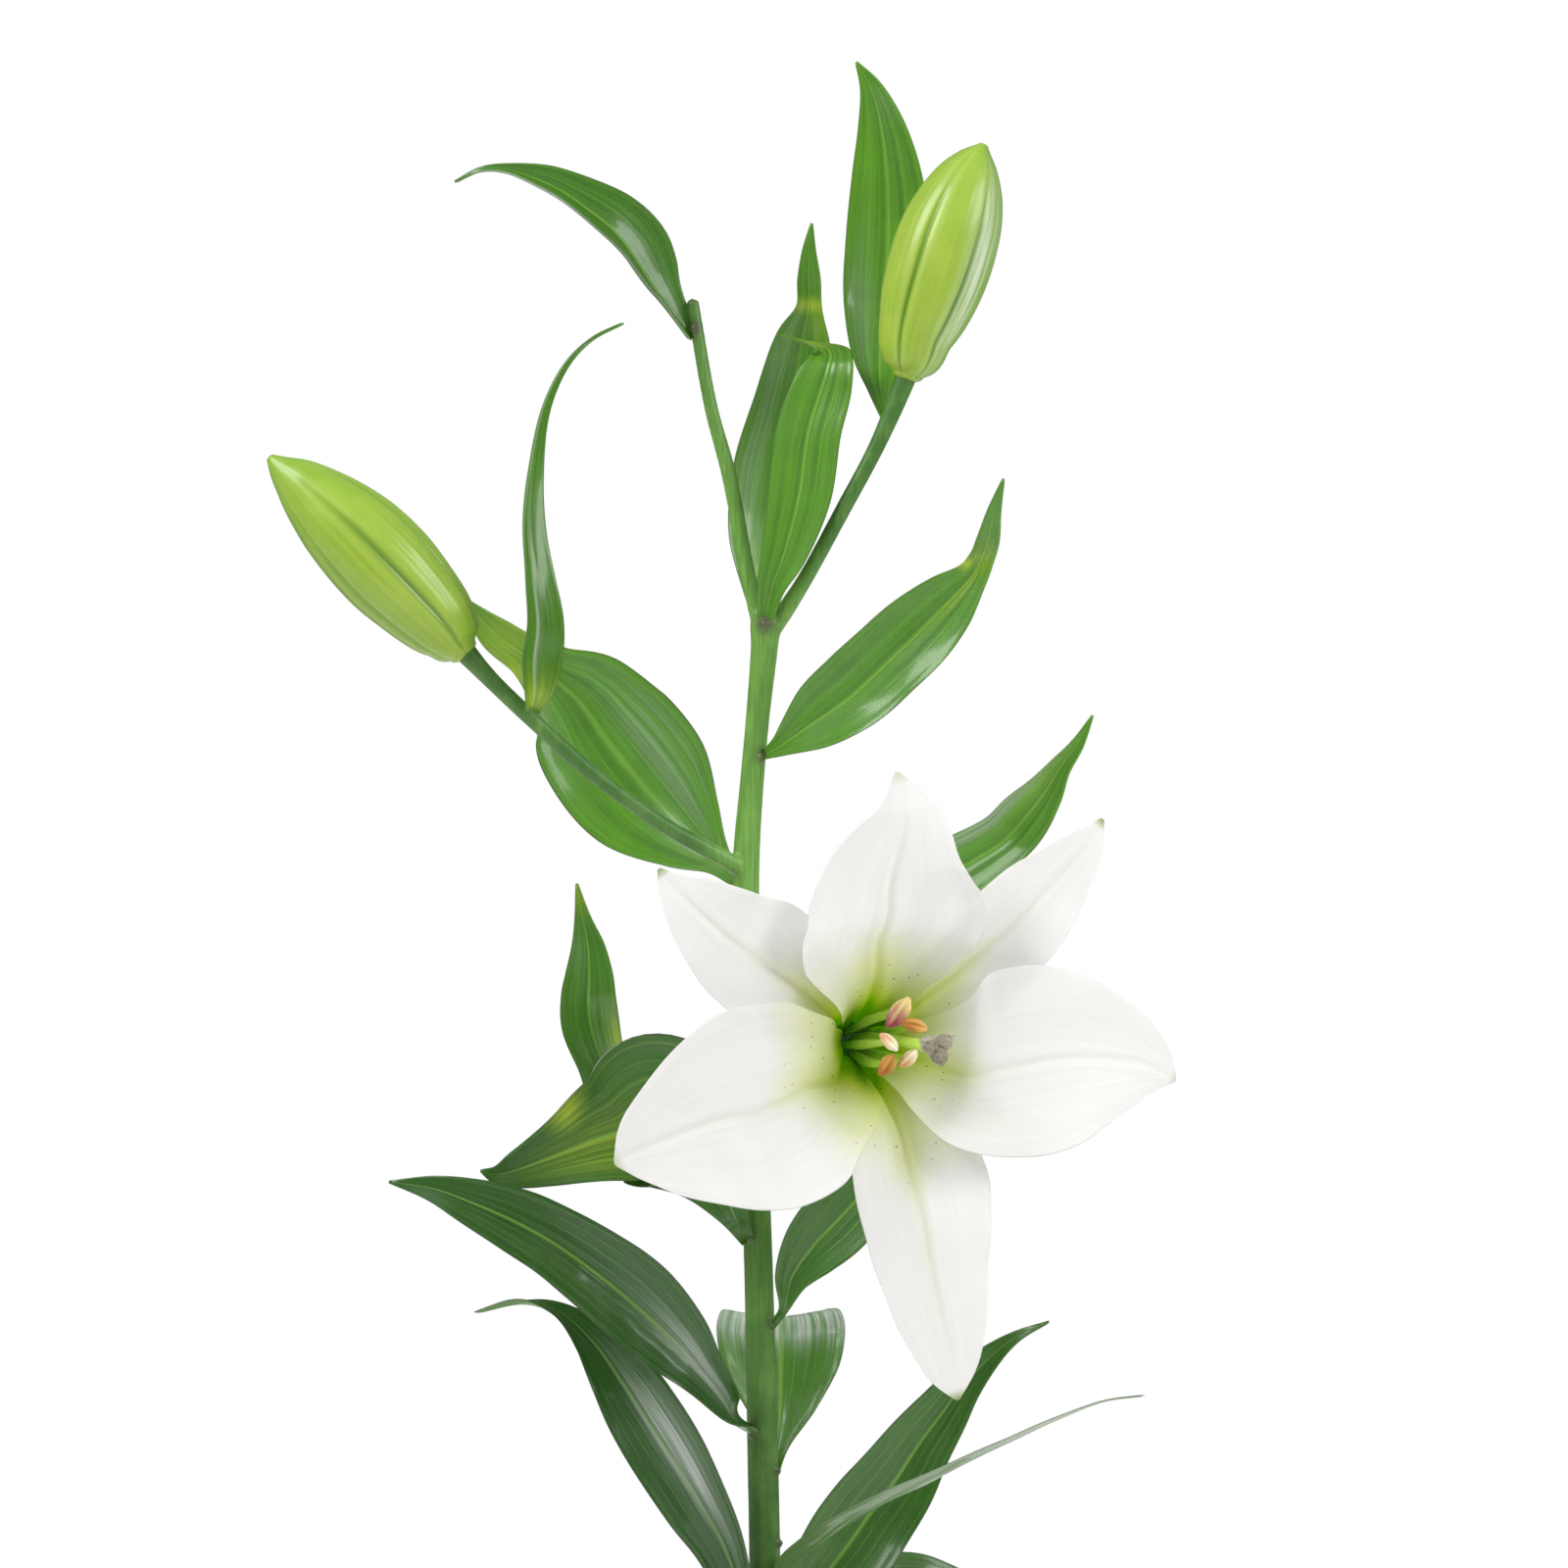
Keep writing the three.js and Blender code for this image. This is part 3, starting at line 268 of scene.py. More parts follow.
# %% The round body
def tube(rows, sides=24, steps=40, relief=None, lean=(0, -1, 0), dome=0.6, caps=5):
    """Points and faces of rings on rows of [x, y, z, radius]. A ring's point lies at the radius times the
    relief, turned from the side that leans forward. The ends are domes: rings as wide as a cosine, set out
    by a sine."""
    t = np.linspace(0, 1, steps + 1)
    row = along(rows, t)
    ahead = heading(rows, t)
    radius = np.maximum(0.05, row[:, 3])
    swell = np.linspace(1.5, 0, caps, endpoint=False)
    start = row[:1, :3] - ahead[:1] * (radius[0] * dome * np.sin(swell))[:, None]
    end = row[-1:, :3] + ahead[-1:] * (radius[-1] * dome * np.sin(swell))[:, None]
    centre = np.vstack([start, row[:, :3], end[::-1]])
    ahead = np.vstack([np.repeat(ahead[:1], caps, 0), ahead, np.repeat(ahead[-1:], caps, 0)])
    radius = np.concatenate([radius[0] * np.cos(swell), radius, (radius[-1] * np.cos(swell))[::-1]])
    t = np.concatenate([np.zeros(caps), t, np.ones(caps)])
    first = unit(np.array(lean) - ahead * (ahead @ np.array(lean, float))[:, None])
    second = np.cross(ahead, first)
    angle = np.linspace(0, 2 * np.pi, sides, endpoint=False)
    reach = radius[:, None] * (relief(angle, t[:, None]) if relief else np.ones((len(t), sides)))
    ring = first[:, None] * np.cos(angle)[:, None] + second[:, None] * np.sin(angle)[:, None]
    points = np.vstack([(centre[:, None] + ring * reach[..., None]).reshape(-1, 3), centre[:1], centre[-1:]])
    columns = np.arange(sides + 1)
    index = np.arange(len(t))[:, None] * sides + columns % sides
    uv = np.stack(np.broadcast_arrays(columns / sides, t[:, None]), axis=-1).reshape(-1, 2)
    cells = quads(np.arange(len(t) * (sides + 1)).reshape(len(t), -1))
    parts = [(index.ravel()[cells], uv[cells])]
    poles = (0, len(points) - 2, (1, 0, 2)), (len(t) - 1, len(points) - 1, (0, 1, 2))
    for ring_number, pole, order in poles:
        rim = index[ring_number]
        fan = np.stack([rim[:-1], rim[1:], np.full(sides, pole)], axis=-1)[:, order]
        flat = np.stack([columns[:-1] / sides, np.full(sides, float(ring_number > 0))], axis=-1)
        parts.append((fan, np.repeat(flat[:, None], 3, axis=1)))
    grid = {"angle": np.tile(angle, len(t)), "t": np.repeat(t, sides)}
    grid = {key: np.append(values, [0, 0]) for key, values in grid.items()}
    grid["t"][-1] = 1
    return points, parts, grid


def together(bodies):
    """Several bodies' points and faces as one list, each body's faces counted on from the last one's
    points."""
    starts = np.cumsum([0] + [len(body[0]) for body in bodies])
    parts = [(corners + starts[i], uv) for i, body in enumerate(bodies) for corners, uv in body[1]]
    return np.vstack([body[0] for body in bodies]), parts


# %% [markdown]
# ## Materials
# Every surface of a plant is a skin over juicy cells: a clear wax on top, colour below it, and light that
# comes through from behind. One helper adds a node with its settings and its links, and each material is
# then built from what the real skin is. Colours are written as on screen, in hex, and turned to the
# renderer's linear values.

# %% Colour and node helpers
def linear(colour):
    """The renderer's value of an sRGB hex colour: each channel less 0.055 over 1.055 to the power 2.4, or
    over 12.92 where it is dark."""
    channels = np.array([int(colour[i:i + 2], 16) for i in (1, 3, 5)]) / 255
    values = np.where(channels <= 0.04045, channels / 12.92, ((channels + 0.055) / 1.055) ** 2.4)
    return (*values.tolist(), 1)


def node(tree, kind, inputs=(), out=None, **settings):
    """Adds a shader node and returns one of its outputs. Settings are its own properties. Inputs are values
    or links, under the socket's name or its number among those that the settings leave in use."""
    made = tree.nodes.new(kind)
    for title, value in settings.items():
        setattr(made, title, value)
    sockets = [socket for socket in made.inputs if socket.enabled]
    for key, value in dict(inputs).items():
        socket = sockets[key] if isinstance(key, int) else next(s for s in sockets if s.name == key)
        if isinstance(value, bpy.types.NodeSocket):
            tree.links.new(value, socket)
        else:
            socket.default_value = value
    return next(output for output in made.outputs if output.enabled and out in (None, output.name))


def start(title, **values):
    """A new material with one Principled shader, whose constant values sit on its own sockets."""
    material = bpy.data.materials.new(title)
    material.use_nodes = True
    tree = material.node_tree
    skin = tree.nodes["Principled BSDF"]
    for socket, value in values.items():
        skin.inputs[socket.replace("_", " ")].default_value = value
    return material, tree, skin


def through(tree, skin, colour, share):
    """Lets a share of the light through from the far side, in a colour, as thin tissue does."""
    glow = node(tree, "ShaderNodeBsdfTranslucent", {"Color": colour})
    mixed = node(tree, "ShaderNodeMixShader", {0: share, 1: skin.outputs[0], 2: glow})
    tree.links.new(mixed, tree.nodes["Material Output"].inputs["Surface"])


print("paper white is", [round(c, 3) for c in linear("#f4f3f1")])

# %% [markdown]
# ## The clay pot
# A plain flower pot is thrown or pressed from red clay and fired once, unglazed. Its wall tapers, a thick
# collar stiffens the rim, and the floor has drain holes. It is one profile turned round the upright axis,
# with fine throwing rings in the wall. The holes are cut by a Boolean, which is exact where a flat floor
# meets a bore.

# %% The pot's profile, turned
POT = {"height": 130, "foot": 48, "lip": 73, "wall": 4.5, "floor": 7, "rim_drop": 27, "rim_step": 5}
DRAINS = {"count": 5, "radius": 4.5, "ring": 28, "past": 9}
RINGS = {"spacing": 3.2, "depth": 0.12}


def inner_radius(z):
    """The pot's inner wall: a straight taper from foot to lip, less the wall."""
    return POT["foot"] + (POT["lip"] - POT["foot"]) / POT["height"] * z - POT["wall"]


def rounded(corners, share=0.35, most=2.2, arc=5):
    """A polyline whose corners are cut back, by a share of each side and at most by a length, and bridged
    by quadratic curves, as a potter's thumb rounds them."""
    corners = np.array(corners, float)
    before, here, after = corners[:-2, None], corners[1:-1, None], corners[2:, None]
    s = np.linspace(0, 1, arc)[None, :, None]
    longest = np.linalg.norm(np.stack([before - here, after - here]), axis=-1)
    reach = np.minimum(share, most / np.maximum(1e-6, longest))
    start, end = here + (before - here) * reach[0][..., None], here + (after - here) * reach[1][..., None]
    bend = (1 - s) ** 2 * start + 2 * s * (1 - s) * here + s**2 * end
    return np.vstack([corners[:1], bend.reshape(-1, 2), corners[-1:]])


def spread(outline, step):
    """An outline with points added a step apart, so that a relief has something to move."""
    ways = np.concatenate([[0], np.cumsum(np.linalg.norm(np.diff(outline, axis=0), axis=1))])
    places = np.unique(np.concatenate([ways, np.arange(0, ways[-1], step)]))
    return np.stack([np.interp(places, ways, column) for column in outline.T], axis=-1)


def turned(name, outline, sides=160):
    """A profile of [radius, z] carried round the z axis. The two ends of the profile lie on the axis, as
    poles."""
    angle = np.arange(sides + 1) * 2 * np.pi / sides
    radius, z = outline[1:-1, :1], outline[1:-1, 1:]
    ring = [radius * np.cos(angle[:-1]), radius * np.sin(angle[:-1]), z + 0 * angle[:-1]]
    poles = [[0, 0, outline[0, 1]], [0, 0, outline[-1, 1]]]
    points = np.vstack([np.stack(ring, axis=-1).reshape(-1, 3), poles])
    index = np.arange(len(radius))[:, None] * sides + np.arange(sides + 1) % sides
    share = np.linspace(0, 1, len(radius))[:, None]
    uv = np.stack(np.broadcast_arrays(np.arange(sides + 1) / sides, share), axis=-1).reshape(-1, 2)
    cells = quads(np.arange(index.size).reshape(index.shape))
    first = np.stack([index[0, 1:], index[0, :-1], np.full(sides, len(points) - 2)], axis=-1)
    last = np.stack([index[-1, :-1], index[-1, 1:], np.full(sides, len(points) - 1)], axis=-1)
    caps = [(first, np.zeros((sides, 3, 2))), (last, np.ones((sides, 3, 2)))]
    return add_piece(name, points, [(index.ravel()[cells], uv[cells]), *caps])


def pot_outline():
    """The pot from the middle of its underside, up the outer wall and collar, over the lip and down
    inside."""
    height, foot, lip, floor, step = (POT[k] for k in ("height", "foot", "lip", "floor", "rim_step"))
    ledge = height - POT["rim_drop"]
    body = foot + (lip - step - foot) * ledge / height
    corners = [[0, 0], [foot - 2, 0], [foot, 2], [body, ledge], [body + step, ledge + 2], [lip, height - 3],
               [lip - 1.5, height], [inner_radius(height) + 1, height],
               [inner_radius(height - 1), height - 1.5], [inner_radius(floor + 3), floor + 3],
               [inner_radius(floor) - 3, floor], [0, floor]]
    outline = spread(rounded(corners), 0.8)
    wall = (outline[:, 0] > foot) & (outline[:, 1] > 4) & (outline[:, 1] < ledge - 2)
    outline[:, 0] -= RINGS["depth"] * wall * (1 + np.cos(2 * np.pi * outline[:, 1] / RINGS["spacing"]))
    return outline


pot = turned("pot_thrown", pot_outline())


# %% Drain holes in the floor
def cut_drains(piece):
    """Cuts upright bores through the floor, and past it on both sides, with a Boolean, and applies it."""
    radius, past, bores = DRAINS["radius"], DRAINS["past"], []
    for a in (np.arange(DRAINS["count"]) + 0.5) * 2 * np.pi / DRAINS["count"]:
        x, y = DRAINS["ring"] * np.cos(a), DRAINS["ring"] * np.sin(a)
        ends = [[x, y, -past, radius], [x, y, POT["floor"] + past, radius]]
        bores.append(tube(ends, sides=32, steps=2, dome=0.1))
    cutter = add_piece("bores", *together(bores))
    cut = piece.modifiers.new("drains", "BOOLEAN")
    cut.object, cut.operation, cut.solver = cutter, "DIFFERENCE", "EXACT"
    bpy.context.view_layer.update()
    piece.data = bpy.data.meshes.new_from_object(piece.evaluated_get(bpy.context.evaluated_depsgraph_get()))
    piece.modifiers.clear()
    bpy.data.objects.remove(cutter)


cut_drains(pot)
print("pot points:", len(pot.data.vertices))


# %% Terracotta
def terracotta():
    """Low-fired red clay: matt and porous, mottled by the kiln, with pale lime that watering draws out of
    it. The mottle is 12 mm wide, the grit 0.8 mm and the lime blooms 26 mm."""
    material, tree, skin = start("terracotta_unglazed", Roughness=0.88, IOR=1.5)
    place = node(tree, "ShaderNodeTexCoord", out="Object")
    mottle = node(tree, "ShaderNodeTexNoise", {"Vector": place, "Scale": 83, "Detail": 5, "Roughness": 0.6})
    grit = node(tree, "ShaderNodeTexNoise", {"Vector": place, "Scale": 1250, "Detail": 2})
    bloom_and_sheen = node(tree, "ShaderNodeTexNoise", {"Vector": place, "Scale": 38, "Detail": 6, "Roughness": 0.7})
    lime = node(tree, "ShaderNodeMapRange", {0: bloom_and_sheen, 1: 0.52, 2: 0.74, 3: 0, 4: 0.55})
    clay = node(tree, "ShaderNodeMix", {"Factor": mottle, "A": linear("#a2532f"), "B": linear("#c9784f")},
                data_type="RGBA")
    clay = node(tree, "ShaderNodeMix", {"Factor": grit, "A": linear("#8f4a2c"), "B": clay},
                data_type="RGBA")
    clay = {"Factor": lime, "A": clay, "B": linear("#d9c0ab")}
    clay = node(tree, "ShaderNodeMix", clay, data_type="RGBA")
    tree.links.new(clay, skin.inputs["Base Color"])
    pits = node(tree, "ShaderNodeBump", {"Height": grit, "Strength": 0.5, "Distance": 0.0003})
    tree.links.new(pits, skin.inputs["Normal"])
    return material


dress(pot, ["pot"], terracotta())

# %% [markdown]
# ## The compost
# Potting compost is peat and composted bark with white grains of perlite. Its surface is loose crumbs of
# every size, which a bump map can't show against the light. A lumpy bed carries the colour, and on it lie
# some two thousand crumbs: one rough twenty-sided ball, turned, stretched and placed by seeded draws, all
# in one mesh.

# %% The bed of compost
# BED holds how many rings and sides the bed has, its innermost radius, and its radius at the floor.
SOIL = {"top": 114, "mound": 4, "edge": inner_radius(114) - 0.6, "floor": POT["floor"] + 0.5}
BED = {"rings": 90, "sides": 180, "eye": 0.4, "foot": inner_radius(12) - 3}


def soil_height(x, y):
    """Height of the bed: a low mound round the stem, heaps 20 mm apart, and grains from 2 to 4 mm."""
    r, a = np.hypot(x, y), np.arctan2(y, x)
    mound = SOIL["mound"] * (1 - (r / SOIL["edge"]) ** 2)
    heaps = 1.3 * np.sin(0.31 * x + 1) * np.cos(0.27 * y)
    heaps = heaps + 0.8 * np.sin(7 * a + 0.4 * r) * np.minimum(1, r / 30)
    grain = 0.35 * np.sin(1.9 * x + 0.7 * y) * np.sin(1.6 * y - 0.5 * x)
    grain = grain + 0.2 * np.sin(3.1 * x) * np.sin(3.7 * y)
    return SOIL["top"] + mound + (heaps + grain) * np.clip((SOIL["edge"] - r) / 6, 0, 1)


def soil_bed():
    """A disc of rings under that height, closed by a wall just inside the pot and a floor."""
    rings, sides, eye = BED["rings"], BED["sides"], BED["eye"]
    radius = np.concatenate([np.linspace(eye, SOIL["edge"], rings), [BED["foot"], eye]])[:, None]
    angle = np.arange(sides) * 2 * np.pi / sides
    x, y = radius * np.cos(angle), radius * np.sin(angle)
    z = np.where(np.arange(len(radius))[:, None] < rings, soil_height(x, y), SOIL["floor"])
    points = np.stack([x, y, z], axis=-1).reshape(-1, 3)
    poles = [[0, 0, soil_height(0.0, 0.0)], [0, 0, SOIL["floor"]]]
    index = np.arange(len(radius))[:, None] * sides + np.arange(sides + 1) % sides
    cells = quads(index)[:, ::-1]
    top = np.stack([index[0, :-1], index[0, 1:], np.full(sides, len(points))], axis=-1)
    low = np.stack([index[-1, 1:], index[-1, :-1], np.full(sides, len(points) + 1)], axis=-1)
    parts = [(faces, np.zeros((*faces.shape, 2))) for faces in (cells, top, low)]
    return np.vstack([points, poles]), parts


bed_points, bed_parts = soil_bed()
print("bed points:", len(bed_points))

# %% Crumbs
CRUMBS = {"count": 2300, "seed": 11, "least": 0.5, "most": 2.4}
# The ball's twelve corners are the corners of three golden rectangles that cross, drawn in to length 1.
GOLD = (1 + 5**0.5) / 2
BALL = np.array([[1, GOLD, 0], [-1, GOLD, 0], [1, -GOLD, 0], [-1, -GOLD, 0]])
BALL = unit(np.vstack([BALL, np.roll(BALL, 1, axis=1), np.roll(BALL, 2, axis=1)]))


def ball_faces():
    """The twenty triangles of the ball: each three corners that are nearest neighbours, turned to face
    out."""
    near = np.linalg.norm(BALL[:, None] - BALL[None], axis=-1) < 1.1
    i, j, k = np.nonzero(near[:, :, None] & near[None] & near[:, None])
    faces = np.stack([i, j, k], axis=-1)
    faces = faces[(i < j) & (j < k)]
    a, b, c = BALL[faces[:, 0]], BALL[faces[:, 1]], BALL[faces[:, 2]]
    inward = (np.cross(b - a, c - a) * a).sum(axis=1) < 0
    faces[inward] = faces[inward][:, ::-1]
    return faces


def crumbs():
    """Balls moved, turned by a random unit quaternion and stretched. Most are peat, one in six is a flake
    of bark and one in twenty a white grain of perlite; `kind` is 0, 0.5 or 1."""
    rng = np.random.default_rng(CRUMBS["seed"])
    n = CRUMBS["count"]
    size = CRUMBS["least"] + (CRUMBS["most"] - CRUMBS["least"]) * rng.random(n) ** 3
    radius, angle = (SOIL["edge"] - 3) * np.sqrt(rng.random(n)), rng.uniform(0, 2 * np.pi, n)
    kind = np.select([rng.random(n) < 0.05, rng.random(n) < 0.17], [1.0, 0.5], 0.0)
    stretch = rng.uniform(0.6, 1.25, (n, 3)) * np.where(kind[:, None] == 0.5, [1.7, 0.9, 0.35], 1)
    w, x, y, z = unit(rng.normal(size=(n, 4))).T
    turn = np.array([[1 - 2 * (y * y + z * z), 2 * (x * y - w * z), 2 * (x * z + w * y)],
                     [2 * (x * y + w * z), 1 - 2 * (x * x + z * z), 2 * (y * z - w * x)],
                     [2 * (x * z - w * y), 2 * (y * z + w * x), 1 - 2 * (x * x + y * y)]]).transpose(2, 0, 1)
    corners = len(BALL)
    rough = BALL[None] * (1 + 0.3 * rng.uniform(-1, 1, (n, corners, 1)))
    shape = np.einsum("nij,nkj->nki", turn, rough * stretch[:, None]) * size[:, None, None]
    px, py = radius * np.cos(angle), radius * np.sin(angle)
    place = np.stack([px, py, soil_height(px, py) + 0.25 * size], axis=-1)
    faces = (ball_faces()[None] + corners * np.arange(n)[:, None, None]).reshape(-1, 3)
    points = (place[:, None] + shape).reshape(-1, 3)
    kind, shade = np.repeat(kind, corners), np.repeat(rng.random(n), corners)
    return points, [(faces, np.zeros((*faces.shape, 2)))], kind, shade


points, parts, kind, shade = crumbs()
soil = add_piece("soil_crumbs", *together([(bed_points, bed_parts), (points, parts)]))
paint(soil, "kind", np.concatenate([np.zeros(len(bed_points)), kind]))
paint(soil, "shade", np.concatenate([np.full(len(bed_points), 0.3), shade]))


# %% Compost
def compost():
    """Peat and bark: almost black where wet, brown where dry, matt and fibrous, with chalk-white perlite.
    Fibres are 1.5 mm apart, and each crumb has its own brown."""
    material, tree, skin = start("compost_peat_bark", Roughness=0.95, IOR=1.4)
    place = node(tree, "ShaderNodeTexCoord", out="Object")
    fibre = node(tree, "ShaderNodeTexNoise", {"Vector": place, "Scale": 670, "Detail": 4})
    kind = node(tree, "ShaderNodeAttribute", out="Fac", attribute_name="kind")
    shade = node(tree, "ShaderNodeAttribute", out="Fac", attribute_name="shade")
    bark = node(tree, "ShaderNodeMapRange", {0: kind, 1: 0.1, 2: 0.5})
    white = node(tree, "ShaderNodeMapRange", {0: kind, 1: 0.6, 2: 0.9})
    peat = {"Factor": shade, "A": linear("#21160f"), "B": linear("#4d3524")}
    peat = node(tree, "ShaderNodeMix", peat, data_type="RGBA")
    peat = node(tree, "ShaderNodeMix", {"Factor": fibre, "A": linear("#1a120d"), "B": peat},
                data_type="RGBA")
    for share, tint in [(bark, "#6b4428"), (white, "#d8d4c8")]:
        peat = node(tree, "ShaderNodeMix", {"Factor": share, "A": peat, "B": linear(tint)},
                    data_type="RGBA")
    tree.links.new(peat, skin.inputs["Base Color"])
    rough = node(tree, "ShaderNodeBump", {"Height": fibre, "Strength": 0.7, "Distance": 0.0005})
    tree.links.new(rough, skin.inputs["Normal"])
    return material


dress(soil, ["soil"], compost())

# %% [markdown]
# ## The bulb
# A lily's bulb has no paper coat: it is a rosette of fleshy cream scales, packed like an artichoke's. It
# sits deep in the compost and no view shows it, so one round body with rows of scales as relief is enough,
# in the real colours, for whoever lifts the plant out.

# %% The bulb
BULB = {"foot": 24, "top": 74, "radius": 25}
bulb_rows = [[0, 0, BULB["foot"], 10], [0, 0, BULB["foot"] + 5, 20],
             [0, 0, BULB["foot"] + 18, BULB["radius"]], [0, 0, BULB["foot"] + 32, 20],
             [0, 0, BULB["foot"] + 42, 11], [0, 0, BULB["top"], 5]]


def scales(angle, t):
    """Five twisting rows of scales: a cosine with narrow crests and wide hollows, which fades out at both
    ends."""
    row = 5 * angle + 9 * t
    return 1 + 0.06 * np.cos(row + 0.5 * np.sin(row)) * np.sin(np.pi * t)


points, parts, _ = tube(bulb_rows, sides=90, steps=60, relief=scales, dome=0.1)
bulb = add_piece("bulb_scaled", points, parts)


def bulb_flesh():
    """Fleshy scale leaves: cream, satin, a little see-through, browned in streaks 6 mm wide where they
    dried."""
    material, tree, skin = start("bulb_fleshy_scales", Roughness=0.55, IOR=1.4, Subsurface_Weight=0.1)
    place = node(tree, "ShaderNodeTexCoord", out="Object")
    wide = node(tree, "ShaderNodeMapping", {"Vector": place, "Scale": (1, 1, 0.25)})
    streak = node(tree, "ShaderNodeTexNoise", {"Vector": wide, "Scale": 160, "Detail": 4})
    colour = {"Factor": streak, "A": linear("#efe6cd"), "B": linear("#b99a6b")}
    colour = node(tree, "ShaderNodeMix", colour, data_type="RGBA")
    tree.links.new(colour, skin.inputs["Base Color"])
    return material


dress(bulb, ["bulb"], bulb_flesh())

# %% [markdown]
# ## The stem
# A lily's stem is one smooth green rod, 8 to 9 mm thick, faintly ridged, with a short stalk to each flower.
# Rods that only cross each other would meet in hard creases. So the rods are worked out as tubes, fused by
# a voxel Remesh and smoothed, which leaves the soft fillets that tissue has. The leaf scars are swellings
# in the same mesh.

# %% Rods and scars
# A route's rows are [x, z, depth, radius], from where it grows to where it ends.
stem_route = [[0, BULB["top"] + 0.3, 0, 4.6], [0, 150, 0, 4.9], [0.1, 212, 0, 4.6], [-0.6, 250, 0, 4.5],
              [-1.9, 305, 0, 4.2], [-4, 360, 0, 4.1], [-5.4, 400, 0, 4], [-5.2, 420, 0, 3.9],
              [-3.6, 441, 0, 3.5], [-1.8, 461, 0, 3.5], [0, 480, 0, 4], [0.4, 488, 0, 4.3],
              [0.4, 491, 0, 2.4]]
stalk_routes = [
    [[1, 483, 0, 2.6], [6, 490.5, -1, 2.6], [12, 500, -3, 2.3], [22.9, 520, -6, 2.3], [33, 539, -7, 2.4],
     [40.6, 557, -8, 3.1], [41.7, 560.4, -8, 3.3]],
    [[-1, 484, 1, 2.2], [-4.6, 500, 1, 2.2], [-10.3, 530, 0, 2.2], [-15.6, 550, -1, 2],
     [-21, 580.5, -2, 1.9]],
    [[-4.5, 414, 0, 2.6], [-14, 419.5, -5, 2.6], [-30, 428.5, -9, 2.3], [-50, 443, -12, 2.3],
     [-70, 461, -13, 2.4], [-81, 471.7, -13, 2.6], [-88.2, 479.6, -13, 3.4]],
    [[-4, 350, 0, 2.8], [1, 358, -5, 2.9], [9, 363.6, -11, 2.9], [18.6, 364.9, -18.4, 3.2],
     [23.6, 365, -25.4, 4.6], [25.4, 365, -29, 7.6]]]
# Each scar is [x, z, depth, how far it reaches, how dark it is].
SCARS = [[0.2, 487, -4.2, 3.4, 1], [-0.6, 448, -3.4, 2.4, 0.9], [-9.5, 415.5, -2.4, 2.4, 0.8],
         [-4.4, 308, -4, 2.2, 0.7], [2.6, 283, -3.4, 2.6, 0.6], [-4, 251.5, -3.4, 2.6, 0.9],
         [4, 240, -2.4, 2.2, 0.6], [4.4, 219, -2, 2.4, 0.5], [-20.5, 573, -2.6, 3, 0.9],
         [-21.2, 580.8, -2, 2.2, 0.7], [5, 184, -2, 2.4, 0.5]]


def placed(route):
    """A route's places moved along their lines of sight; its other numbers stay."""
    route = np.array(route, float)
    return np.hstack([sight(route[:, 0], route[:, 1], route[:, 2]), route[:, 3:]])


scars = placed(SCARS)
rods = [tube(placed(stem_route), sides=32, steps=140, dome=0.3)]
rods += [tube(placed(route), sides=32, steps=60, dome=0.3) for route in stalk_routes]
for x, y, z, reach, _ in scars:
    swelling = [[x, y, z - 0.5 * reach, 0.35 * reach], [x, y, z, 0.5 * reach],
                [x, y, z + 0.3 * reach, 0.2 * reach]]
    rods.append(tube(swelling, sides=20, steps=8))
stem = add_piece("stem_rods", *together(rods))


# %% One skin over all rods
def fuse(piece, voxel, smooth):
    """Remeshes a piece by voxels of a size in millimetres, smooths it, and applies both."""
    skin = piece.modifiers.new("fuse", "REMESH")
    skin.mode, skin.voxel_size = "VOXEL", voxel * MM
    soften = piece.modifiers.new("soften", "SMOOTH")
    soften.factor, soften.iterations = 0.5, smooth
    bpy.context.view_layer.update()
    fused = bpy.data.meshes.new_from_object(piece.evaluated_get(bpy.context.evaluated_depsgraph_get()))
    piece.modifiers.clear()
    piece.data = fused
    fused.polygons.foreach_set("use_smooth", np.ones(len(fused.polygons), bool))


def vertices_of(piece):
    """A mesh's vertices as one array, in millimetres."""
    places = np.empty(len(piece.data.vertices) * 3, np.float32)
    piece.data.vertices.foreach_get("co", places)
    return places.reshape(-1, 3).astype(float) / MM


def bell(x, middle, width):
    """A Gauss bell: e to the power of minus the square of the way from its middle, counted in widths."""
    return np.exp(-(((x - middle) / width) ** 2))


# A scar's stain fades as a bell of the way from it. A stalk darkens over its first 14 mm, from 9 mm beside
# the stem's axis, and only above the leaves.
fuse(stem, voxel=0.6, smooth=5)
places = vertices_of(stem)
apart = np.linalg.norm(places[:, None] - scars[None, :, :3], axis=-1)
paint(stem, "scar", (scars[:, 4] * bell(apart, 0, 0.85 * scars[:, 3])).max(axis=1))
aside = np.hypot(places[:, 0] + 1, places[:, 1])
paint(stem, "stalk", np.clip((aside - 9) / 14, 0, 1) * (places[:, 2] > 400))
print("stem skin:", len(places), "points")


